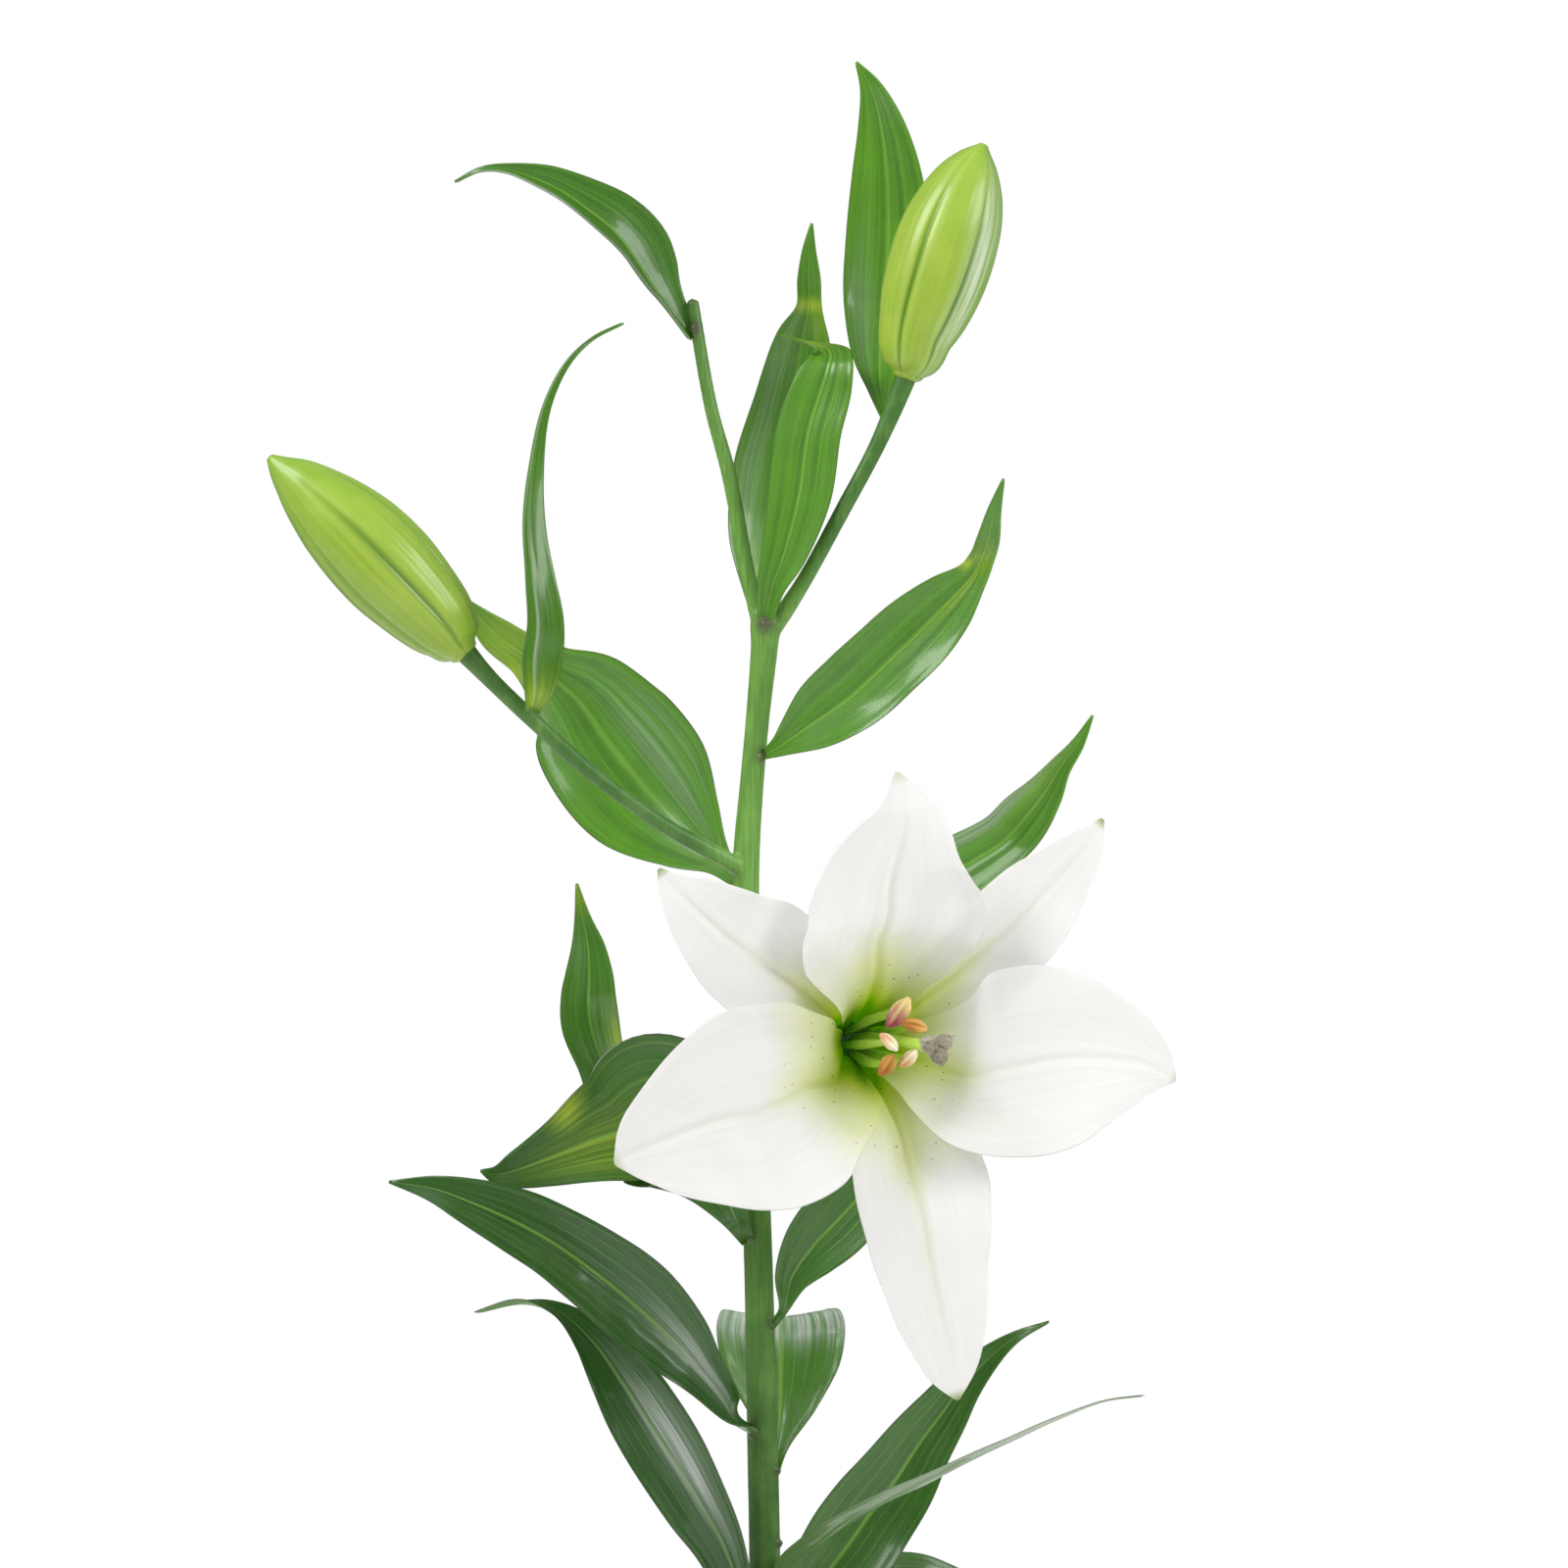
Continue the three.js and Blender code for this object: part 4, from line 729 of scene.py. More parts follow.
# %% The stem's skin
def stem_skin():
    """Green bark with a dull wax bloom: lighter near the top, darker by the pot, striped along by fibres
    0.8 mm apart, darker along the flowers' stalks, and stained purple-brown where a leaf sat."""
    material, tree, skin = start("stem_green_bark", Roughness=0.42, IOR=1.45, Subsurface_Weight=0.08)
    skin.inputs["Subsurface Radius"].default_value = (0.0012, 0.0016, 0.0006)
    place = node(tree, "ShaderNodeTexCoord", out="Object")
    high = node(tree, "ShaderNodeSeparateXYZ", {0: place}, out="Z")
    high = node(tree, "ShaderNodeMapRange", {0: high, 1: 0.2, 2: 0.4})
    flat = node(tree, "ShaderNodeMapping", {"Vector": place, "Scale": (1, 1, 0.06)})
    fibre = node(tree, "ShaderNodeTexNoise", {"Vector": flat, "Scale": 1250, "Detail": 3})
    patch = node(tree, "ShaderNodeTexNoise", {"Vector": place, "Scale": 110, "Detail": 4})
    scar = node(tree, "ShaderNodeAttribute", out="Fac", attribute_name="scar")
    stalk = node(tree, "ShaderNodeAttribute", out="Fac", attribute_name="stalk")
    green = {"Factor": high, "A": linear("#365f22"), "B": linear("#74a846")}
    green = node(tree, "ShaderNodeMix", green, data_type="RGBA")
    pale = node(tree, "ShaderNodeMapRange", {0: patch, 1: 0.42, 2: 0.75, 3: 0, 4: 0.35})
    stripe = node(tree, "ShaderNodeMapRange", {0: fibre, 1: 0.3, 2: 0.7, 3: 0.5, 4: 0})
    for share, tint in [(stalk, "#47752f"), (pale, "#8cb35c"), (stripe, "#365f2b"), (scar, "#4a3338")]:
        green = node(tree, "ShaderNodeMix", {"Factor": share, "A": green, "B": linear(tint)},
                     data_type="RGBA")
    tree.links.new(green, skin.inputs["Base Color"])
    ridges = node(tree, "ShaderNodeBump", {"Height": fibre, "Strength": 0.35, "Distance": 0.0002})
    tree.links.new(ridges, skin.inputs["Normal"])
    return material


dress(stem, ["stem"], stem_skin())

# %% [markdown]
# ## The leaves
# Lily leaves have no stalk. Each starts as a narrow gutter at the stem and spreads into a blade 15 to 45 mm
# wide with a sunk midrib and veins side by side. Every leaf here is one list of stations from root to tip:
# where it shows, how deep it lies and its half width. With them go the directions that its upper side looks
# in, and its cup.

# %% Every leaf's stations
# Stations are [x, z, depth, half width]. Each direction is [turn, lift], and fold and cup are in degrees.
leaves = [
    dict(name="leaf_01", face=[[0, 0], [-8, 8]], cup=[45, 15], fold=6,
         stations=[[36, 546, -7, 1.6], [34, 555, 0, 3.8], [33.6, 566, 10.5, 8.5], [34.8, 582, 18, 12],
                   [36, 600, 19.5, 12.4], [35.6, 618, 17, 10.3], [34, 632, 14.5, 7], [31, 643, 11.5, 3.4],
                   [26.8, 650.5, 10.5, 0.4]]),
    dict(name="leaf_02", face=[[25, 50], [15, 40], [10, 30]], cup=[60, 30], fold=14,
         stations=[[-20.3, 570, -2, 1.8], [-25, 579.5, -5, 4.6], [-28.5, 587.5, -9, 8.2],
                   [-34, 597.3, -13, 10.4], [-42.5, 605.8, -15, 9.6], [-53, 612.3, -14, 7.2],
                   [-64, 617, -12, 4.8], [-75, 619.7, -10, 2], [-83, 619.2, -9, 0.9],
                   [-90.3, 615.6, -8, 0.4]]),
    dict(name="leaf_03",
         face=[[0, 0], [0, 0], [0, 5], [0, 10], [-10, 75], [-10, 80]],
         cup=[55, 18, 10, 5], fold=4,
         stations=[[0, 486, -3.5, 2], [2, 497, -7, 4], [5.7, 507, -9, 6.6], [10.2, 524, -10, 9.2],
                   [13, 543, -10, 9.4], [17, 556, -9, 8.6], [19, 563, -7.5, 7], [19, 566.6, -3.5, 5.4],
                   [14, 568.4, -1, 3], [4, 571, -2, 0.4]]),
    dict(name="leaf_04", face=[[0, 5], [5, 5]], cup=[50, 10], fold=8,
         stations=[[0, 486, 2, 2], [-1.5, 497, 14.5, 5], [0, 510, 18, 10.5], [3, 530, 20, 12.6],
                   [7.6, 550, 20, 11.2], [11.3, 570, 16, 8], [13, 579, 14.5, 3.9], [13, 587, 12.5, 3.5],
                   [13, 595, 11, 2.2], [13.8, 603.5, 9, 0.4]]),
    dict(name="leaf_05", face=[[35, 10], [42, 5], [62, 0], [78, 0], [84, 10]], cup=[60, 25], fold=6,
         stations=[[-68, 459, -12, 1.6], [-65.5, 466, -17, 5], [-64.6, 476, -20, 7.4], [-63.6, 487, -22, 7],
                   [-65, 500, -22, 6.6], [-66.5, 514, -20, 6.2], [-66, 531, -17, 4.6],
                   [-63.4, 549, -15, 2.8], [-57, 562.5, -14, 1.6], [-50, 569.7, -13, 0.8],
                   [-41, 574.3, -12, 0.4]]),
    dict(name="leaf_06", face=[[5, 25], [0, 10], [-10, 5]], cup=[40, 12], fold=6,
         stations=[[-0.5, 448.5, -3, 1.6], [5, 452.3, -11, 4.4], [15, 459.8, -20, 10],
                   [25.5, 467.2, -26, 11.8], [35.5, 476, -30, 11.7], [45, 484.8, -32.5, 11.2],
                   [54, 493.6, -34, 8.6], [60.6, 500.8, -35, 4.8], [63.4, 505.8, -36, 3.7],
                   [65.2, 511, -39, 3.4], [67, 519.5, -42.5, 2.1], [69.7, 529, -46, 0.4]]),
    dict(name="leaf_07", face=[[-5, 0], [0, 5], [0, 10]], cup=[40, 10], fold=5,
         stations=[[-8.5, 412, 1, 2], [-14, 418, 12, 5], [-21.4, 424.8, 18, 12], [-33, 437, 24, 21],
                   [-46.1, 453.5, 28, 21.6], [-54, 464.5, 30, 17], [-62.5, 471.8, 30, 10],
                   [-69, 477, 28, 6.6], [-79.3, 484.4, 22, 5], [-88.3, 494.6, 16, 0.4]]),
    dict(name="leaf_08", face=[[0, 10], [0, 20]], cup=[40, 10], fold=6,
         stations=[[-4.5, 386, 2, 1.8], [8, 391, 18, 6], [28, 400.5, 29, 10], [50, 412, 32.5, 10.4],
                   [69.5, 423.6, 32.5, 8.6], [76, 430.5, 30.5, 8.1], [81.2, 437, 29, 6.1],
                   [86.2, 444.8, 27, 3.5], [91.2, 451.5, 25, 2.1], [95.7, 460, 23.5, 0.4]]),
    dict(name="leaf_09", face=[[-10, 0], [-10, 5], [0, 10], [0, 15], [0, 5]], cup=[40, 20], fold=8,
         stations=[[-5.5, 346, 2, 1.8], [-18, 343.5, 15, 4.4], [-33, 344, 23, 6.4], [-43.6, 350.5, 23, 7.4],
                   [-47.6, 359.5, 19, 7.4], [-50.7, 370, 15, 8.6], [-51.3, 377.5, 13.5, 8.2],
                   [-51.1, 384, 13.5, 7.2], [-51.4, 392, 15, 5.2], [-53, 401, 17, 2.5],
                   [-54.7, 411, 19, 0.4]]),
    dict(name="leaf_10", face=[[-10, 10], [-10, 15], [-5, 15], [0, 5], [5, 0]],
         cup=[35, 30, 10], fold=4,
         stations=[[-4.5, 306, -3, 2], [-9, 314, -13.5, 4.6], [-15, 328, -17, 14], [-25, 340, -17, 21.6],
                   [-33, 345, -17, 22.6], [-41.5, 340.4, -19, 18], [-48.5, 337.6, -21, 14.8],
                   [-57, 333.6, -23, 10.8], [-65.3, 330, -24.5, 7.8], [-73, 327.2, -26.5, 5.2],
                   [-78.7, 326, -28.5, 2.6], [-82.8, 327.3, -28.5, 0.4]]),
    dict(name="leaf_11", face=[[-25, 35], [-15, 30], [-5, 20], [0, 10]], cup=[60, 30, 10], fold=8,
         stations=[[-2.5, 252, -4, 2.2], [-9, 257.5, -14.5, 4.2], [-17.5, 267.8, -22.5, 7],
                   [-26, 277.8, -27, 10.8], [-37.5, 289.3, -32, 12.8], [-49, 298.4, -35, 12],
                   [-60.5, 306.3, -37, 10.6], [-72.5, 312.8, -37, 9.4], [-85.5, 318.3, -35, 6.9],
                   [-96.5, 322, -32, 3.9], [-109.5, 324, -29, 0.4]]),
    dict(name="leaf_12", face=[[15, 10], [0, 5], [0, 15]], cup=[50, 15], fold=8,
         stations=[[1, 281, -2, 1.4], [5.5, 286.5, -8, 1.4], [8.2, 296, -11, 5.4], [13.8, 304.5, -14.5, 9],
                   [22, 313.5, -16, 10.6], [33, 326, -16, 9], [43, 338, -14.5, 5], [50, 347, -13, 0.4]]),
    dict(name="leaf_13",
         face=[[0, 0], [0, 5], [0, 30], [0, 80], [0, 100], [0, 105]],
         cup=[45, 12, 8], fold=4,
         stations=[[2, 237, 3, 1.6], [3.6, 247, 8, 3.6], [4.6, 258, 12, 10.4], [4.8, 270, 15, 17],
                   [4.8, 280.5, 19, 19], [4.6, 286, 27, 18], [4, 286.5, 42, 15], [3, 282, 58, 11],
                   [2, 273, 76, 6], [1, 260, 92, 0.4]]),
    dict(name="leaf_14",
         face=[[-30, 30], [-32, 34], [-25, 40], [-10, 50], [160, 60]],
         cup=[50, 30, 20], fold=8,
         stations=[[-3.2, 190, -2, 2], [-8, 204, -8, 5.4], [-13.8, 218.3, -12, 8.2], [-20, 229.8, -15, 9.9],
                   [-27.5, 243.3, -17, 11], [-35, 255.8, -18, 10.8], [-41.7, 267, -18, 9.4],
                   [-50, 278.6, -17, 6.4], [-60, 287, -15, 3.4], [-70, 289.6, -13, 2.6],
                   [-84.5, 286, -10, 0.4]]),
    dict(name="leaf_15",
         face=[[10, 50], [5, 84], [0, 96], [0, 97], [0, 97], [0, 97]],
         cup=[45, 10, 5, 5], fold=2,
         stations=[[2.5, 209, -3.5, 2], [8, 215.5, -12, 6], [16, 221.3, -22, 7.6], [26, 227.5, -31, 8.4],
                   [38, 233.6, -39, 8.6], [55, 241.4, -46, 7.8], [70, 248.4, -50, 6.2],
                   [85, 255.2, -53, 4.2], [98, 260, -54, 2], [111, 261.8, -53, 0.4]]),
    dict(name="leaf_16", face=[[10, 5], [0, 0], [-5, 5], [-20, 35]], cup=[45, 15], fold=6,
         stations=[[1.5, 183, 2, 2], [7, 194, 12, 5.4], [15.5, 205.5, 17, 11], [24, 216.5, 19, 13.8],
                   [31, 226.8, 21.5, 13.6], [37.8, 236, 21.5, 12.4], [44.8, 247, 21.5, 10.2],
                   [51.3, 256, 21.5, 8.3], [57.5, 264.5, 21.5, 6.2], [66.6, 273.8, 19, 3.5],
                   [74, 279.2, 17, 1.8], [83, 283.3, 14.5, 0.4]]),
    dict(name="leaf_17", face=[[20, 30], [10, 40], [10, 55], [20, 60]], cup=[45, 15], fold=8,
         stations=[[1, 168, 3, 2], [8, 182, 12, 6], [22, 199, 24, 10.4], [40, 207.5, 32, 11.6],
                   [60, 202.5, 36, 10], [82, 189, 37, 6], [104, 170, 36, 0.4]]),
    dict(name="leaf_18", face=[[-20, 40], [-15, 60], [-20, 50]], cup=[45, 15], fold=8,
         stations=[[-1.5, 160, -4, 2], [-10, 169, -20, 6.4], [-26, 177, -44, 11], [-44, 174, -68, 11],
                   [-62, 160, -88, 7], [-78, 140, -102, 0.4]]),
    dict(name="leaf_19", face=[[-50, 50], [-60, 70], [-60, 60]], cup=[45, 15], fold=8,
         stations=[[-3, 148, 3, 2], [-17, 160, 14, 6.4], [-39, 170, 26, 11], [-64, 168, 38, 10.4],
                   [-88, 154, 46, 6.4], [-106, 134, 50, 0.4]]),
    dict(name="leaf_20", face=[[170, 50], [170, 70], [170, 60]], cup=[45, 15], fold=8,
         stations=[[1, 156, 4, 2], [9, 168, 20, 6.4], [18, 176, 44, 11.4], [26, 172, 70, 10.6],
                   [30, 156, 94, 6], [31, 137, 110, 0.4]]),
    dict(name="leaf_21", face=[[40, 45], [50, 66], [50, 60]], cup=[45, 15], fold=8,
         stations=[[3, 140, -3, 2], [16, 152, -14, 6.4], [38, 161, -30, 11.2], [62, 157, -46, 10.6],
                   [84, 142, -58, 6], [100, 122, -66, 0.4]]),
]

print("leaves:", len(leaves))

# %% What each leaf's colour does
# How dark a leaf is, from a young 0 to an old 1, and how dark the leaves are that the table leaves out.
# Then its yellowed places as [along, across, reach along, reach across, how yellow], where across runs
# from -1 to 1.
DARK = {"leaf_01": 0, "leaf_02": 0.55, "leaf_03": 0.1, "leaf_04": 0, "leaf_05": 0.3, "leaf_06": 0.2,
        "leaf_07": 0, "leaf_08": 0.1, "leaf_09": 0.55, "leaf_10": 0.8, "leaf_11": 0.95, "leaf_12": 0.75,
        "leaf_13": 0.4, "leaf_14": 1, "leaf_15": 1, "leaf_16": 0.8}
LOW_DARK = 0.8
YELLOW = {"leaf_03": [[0.9, 0, 0.06, 2, 0.5]],
          "leaf_04": [[0.745, 0, 0.022, 2, 1], [0.7, 0.6, 0.05, 0.4, 0.35]],
          "leaf_05": [[0.05, 0, 0.07, 2, 0.8]],
          "leaf_06": [[0.715, -0.85, 0.025, 0.35, 1], [0.68, 0.1, 0.12, 0.15, 0.4],
                      [0.76, 0.2, 0.05, 1, 0.4]],
          "leaf_07": [[0.84, 0, 0.1, 2, 0.6], [0.78, -0.9, 0.05, 0.4, 1]],
          "leaf_08": [[0.75, -0.6, 0.12, 0.5, 0.15]],
          "leaf_09": [[0.42, 0.9, 0.14, 0.4, 0.9], [0.98, 0, 0.06, 2, 0.4]],
          "leaf_10": [[0.66, 0.8, 0.05, 0.35, 0.9], [0.6, -0.2, 0.2, 0.5, 0.4]]}
# Places with a painted sheen, grey-white streaks where highlights fall on the wax, in the same numbers.
PAINTED_SHEEN = {"leaf_01": [[0.3, -0.6, 0.2, 0.35, 0.3]], "leaf_02": [[0.6, -0.9, 0.3, 0.16, 0.9]],
         "leaf_04": [[0.4, -0.6, 0.3, 0.35, 0.35]], "leaf_05": [[0.3, 0.05, 0.22, 0.09, 1]],
         "leaf_07": [[0.4, 0.5, 0.2, 0.35, 0.35]], "leaf_08": [[0.55, -0.85, 0.25, 0.2, 0.7]],
         "leaf_11": [[0.22, 0.15, 0.12, 0.3, 1.1]], "leaf_13": [[0.47, 0, 0.08, 2, 2]],
         "leaf_14": [[0.42, 0.25, 0.16, 0.35, 1.3]], "leaf_15": [[0.75, 0, 0.27, 2, 0.8]]}
# How high the ribs stand, in millimetres, on any leaf and on the ones where they show most.
RIB = 0.09
RIBBED = {"leaf_03": 0.18, "leaf_07": 0.14, "leaf_11": 0.16, "leaf_14": 0.2}
# A broad leaf with a sharp bend takes its direction over a wider step, or its blade would pleat.
BENT = {"leaf_10": 0.05}
VEIN_PAIRS = 4


def leaf_veins(t, v, half, height):
    """Heights of both skins in millimetres. Above, the midrib is a channel and the veins are shallow ribs,
    as cosines of v; below, the midrib is a keel. All fade out with the leaf's width and towards its tip."""
    x = np.abs(v) * half
    keel = bell(x, 0, 0.9) * np.sqrt(1 - t) * np.minimum(1, half / 5)
    ribs = height * np.cos(2 * np.pi * (VEIN_PAIRS + 0.5) * np.abs(v)) * np.minimum(1, half / 8)
    return ribs - 0.4 * keel, 0.5 * keel - ribs


def loft(stations, face, cup):
    """Stations placed in space, with the cup and the facing spread evenly over them, as a sheet wants
    them."""
    rows = placed(stations)
    t = np.linspace(0, 1, len(rows))
    return np.hstack([rows, evenly(cup, t), facing(*evenly(face, t).T)])


def marked(grid, patches):
    """How yellow, or how grey with painted sheen, a leaf is: the strongest of its places, each a bell along
    times one across."""
    bells = [strength * bell(grid["t"], a, ra) * bell(grid["v"], b, rb)
             for a, b, ra, rb, strength in patches]
    return np.clip(np.max([np.zeros(len(grid["t"])), *bells], axis=0), 0, 1)


# %% Leaf green
def leaf_wax():
    """A lily leaf: deep green cells under a thick clear wax, so that it shines in streaks, and light shows
    through it yellow. Four pairs of pale veins run side by side, with finer ones and dark bands between.
    The underside is paler and duller, and the margin is a dark thread. Here and there a painted sheen greys
    the wax in streaks, where highlights fall. Blotches are 10 mm wide, and the skin's grain is 0.4 mm."""
    material, tree, skin = start("leaf_waxed_green", IOR=1.5, Coat_Weight=0.6, Coat_Roughness=0.14)
    place = node(tree, "ShaderNodeTexCoord", out="Object")
    uv = node(tree, "ShaderNodeUVMap", uv_map="skin")
    across = node(tree, "ShaderNodeSeparateXYZ", {0: uv}, out="X")
    across = node(tree, "ShaderNodeMath", {0: across, 1: 0.5}, operation="SUBTRACT")
    across = node(tree, "ShaderNodeMath", {0: across}, operation="ABSOLUTE")
    blotch = node(tree, "ShaderNodeTexNoise", {"Vector": place, "Scale": 100, "Detail": 5, "Roughness": 0.6})
    grain = node(tree, "ShaderNodeTexNoise", {"Vector": place, "Scale": 2500, "Detail": 2})
    stretch = node(tree, "ShaderNodeMapping", {"Vector": uv, "Scale": (26, 1.2, 1)})
    stripe = {"Vector": stretch, "Scale": 1, "Detail": 4, "Roughness": 0.65}
    stripe = node(tree, "ShaderNodeTexNoise", stripe)
    streak = node(tree, "ShaderNodeMapRange", {0: stripe, 1: 0.42, 2: 0.58, 3: 0.25, 4: 1})
    vein = node(tree, "ShaderNodeMath", {0: across, 1: 2 * (VEIN_PAIRS + 0.5)}, operation="MULTIPLY")
    vein = node(tree, "ShaderNodeMath", {0: vein, 1: 0.5}, operation="PINGPONG")
    vein = node(tree, "ShaderNodeMapRange", {0: vein, 1: 0.0, 2: 0.07, 3: 1, 4: 0},
                interpolation_type="SMOOTHSTEP")
    margin = node(tree, "ShaderNodeMapRange", {0: across, 1: 0.485, 2: 0.499})
    midrib = node(tree, "ShaderNodeMapRange", {0: across, 1: 0.008, 2: 0.03, 3: 1, 4: 0})
    dark, pale, under, bloom_and_sheen, broad = (node(tree, "ShaderNodeAttribute", out="Fac", attribute_name=name)
                                       for name in ("dark", "yellow", "under", "bloom_and_sheen", "broad"))
    fresh = {"Factor": stripe, "A": linear("#468a16"), "B": linear("#7ab833")}
    fresh = node(tree, "ShaderNodeMix", fresh, data_type="RGBA")
    old = node(tree, "ShaderNodeMix", {"Factor": stripe, "A": linear("#153c12"), "B": linear("#3f762c")},
               data_type="RGBA")
    green = node(tree, "ShaderNodeMix", {"Factor": dark, "A": fresh, "B": old}, data_type="RGBA")
    stretch = node(tree, "ShaderNodeMapping", {"Vector": uv, "Scale": (8, 0.9, 1)})
    band = node(tree, "ShaderNodeTexNoise", {"Vector": stretch, "Scale": 1, "Detail": 3, "Roughness": 0.5})
    band = node(tree, "ShaderNodeMath", {0: blotch, 1: 0.35, 2: band}, operation="MULTIPLY_ADD")
    band = node(tree, "ShaderNodeMapRange", {0: band, 1: 0.6, 2: 0.95, 3: 0, 4: 0.65})
    green = node(tree, "ShaderNodeMix", {"Factor": band, "A": green, "B": linear("#164410")},
                 data_type="RGBA")
    fade = node(tree, "ShaderNodeMapRange", {0: blotch, 1: 0.35, 2: 0.65, 3: 0.12, 4: 0.5})
    # The last tint is a painted sheen: grey-white streaks where highlights fall on the wax.
    for part, most, tint in [(vein, fade, "#8fbf45"), (midrib, 0.45, "#9ccb55"), (pale, streak, "#cbe03a"),
                             (under, 0.6, "#7da765"), (margin, 0.7, "#4d4636"), (bloom_and_sheen, streak, "#ccd2cd")]:
        share = node(tree, "ShaderNodeMath", {0: part, 1: most}, operation="MULTIPLY")
        green = node(tree, "ShaderNodeMix", {"Factor": share, "A": green, "B": linear(tint)},
                     data_type="RGBA")
    tree.links.new(green, skin.inputs["Base Color"])
    dull = node(tree, "ShaderNodeMapRange", {0: blotch, 1: 0.3, 2: 0.7, 3: 0.3, 4: 0.42})
    dull = node(tree, "ShaderNodeMath", {0: under, 1: 0.2, 2: dull}, operation="MULTIPLY_ADD")
    tree.links.new(dull, skin.inputs["Roughness"])
    fine = node(tree, "ShaderNodeMath", {0: grain, 1: 0.25, 2: stripe}, operation="MULTIPLY_ADD")
    relief = node(tree, "ShaderNodeBump", {"Height": fine, "Strength": broad, "Distance": 0.0004})
    tree.links.new(relief, skin.inputs["Normal"])
    light = node(tree, "ShaderNodeMix", {"Factor": 0.5, "A": green, "B": linear("#9fd42a")},
                 data_type="RGBA")
    through(tree, skin, light, 0.22)
    return material


# %% Growing the leaves
# Thickness in millimetres. The one leaf that shows its edge is a thin one.
LEAF_THICK = {"middle": 1.0, "margin": 0.45}
LEAF_THIN = {"middle": 0.6, "margin": 0.25}
leaf_skin = leaf_wax()
for number, leaf in enumerate(leaves):
    rows = loft(leaf["stations"], leaf["face"], leaf["cup"])
    thick = LEAF_THIN if leaf["name"] == "leaf_15" else LEAF_THICK
    veins = partial(leaf_veins, height=RIBBED.get(leaf["name"], RIB))
    piece, grid = sheet(f"{leaf['name']}_blade", rows, leaf["fold"], thick, veins, seed=100 + number,
                        near=BENT.get(leaf["name"], NEAR))
    paint(piece, "broad", 0.6 * np.clip(grid["half"] / 7, 0, 1) ** 2)
    # Painted sheen: grey-white streaks where highlights fall.
    paint(piece, "bloom_and_sheen", marked(grid, PAINTED_SHEEN.get(leaf["name"], [])))
    paint(piece, "dark", np.full(len(grid["t"]), DARK.get(leaf["name"], LOW_DARK)))
    paint(piece, "yellow", marked(grid, YELLOW.get(leaf["name"], [])))
    dress(piece, [leaf["name"]], leaf_skin)

# %% [markdown]
# ## The closed buds
# A bud is six petals pressed edge to edge. The three outer ones close over the inner ones, whose midribs
# show as narrow strips between them, so six furrows run from the stalk to the tip. A lathe couldn't turn
# them. Here the radius of each ring dips in a wide hollow and a narrow seam at six angles, with fine ribs
# between them.

# %% Two buds
# With each bud go its turn about its axis in degrees, how dark the painted shade makes its left and its
# right rim, how strong the painted sheen on its one side is, how wide its seams are painted, and how much
# weaker they are away from the middle.
BUDS = [
    dict(name="bud_right", turn=25.5, rim=[0, 0.6], bloom_and_sheen=0.7, seam=0.16, shy=0,
         route=[[41.8, 559.4, -8, 4.6], [42.3, 561.4, -8.1, 7.4], [43, 564.6, -8.2, 9.4],
                [44, 570, -8.4, 11], [46.6, 578, -8.7, 13.4], [50, 588, -9, 14.9], [53.2, 598, -9, 15],
                [56.4, 607, -9, 13.6], [59.6, 616, -9, 10.2], [62, 622, -9, 6], [63.8, 626, -9, 1.6]]),
    dict(name="bud_left", turn=-6, rim=[0.4, 0.4], bloom_and_sheen=0, seam=0.3, shy=0.75,
         route=[[-87.8, 478.8, -13, 4.6], [-89.4, 480.6, -13, 7.4], [-91.4, 483.4, -13.2, 9.4],
                [-94.8, 487.4, -13.6, 11.4], [-101.8, 494.8, -14.4, 13.4], [-108.8, 502, -15.2, 14.6],
                [-117, 510.4, -16, 14.3], [-124.4, 517.4, -16.8, 12.7], [-130, 522.6, -17.4, 10.6],
                [-136, 528, -18, 7.6], [-140.6, 531.8, -18.4, 4.4], [-144, 535, -18.8, 1.4]])]


def furrows(turn):
    """The relief of six furrows, where the sine of three times the angle is nothing. The wide dip, a bell
    of that sine, is the furrow of the plain solid, the narrow one is the seam itself, and 36 fine ribs run
    beside them."""
    def relief(angle, t):
        way = np.sin(3 * (angle + np.radians(turn)))
        open_up = np.sin(np.pi * np.minimum(1, 0.12 + t))
        wide = 0.04 * bell(way, 0, 0.35)
        seam = 0.035 * bell(way, 0, 0.09)
        ribs = 0.004 * np.cos(36 * angle)
        return 1 - (wide + seam) * open_up + ribs * open_up * np.abs(way)
    return relief


def sideways(route):
    """The direction square to a bud's axis, to the right of it for the viewer."""
    ahead = unit(np.subtract(route[-1], route[0])[[0, 1]])
    return np.array([ahead[1], 0, -ahead[0]])


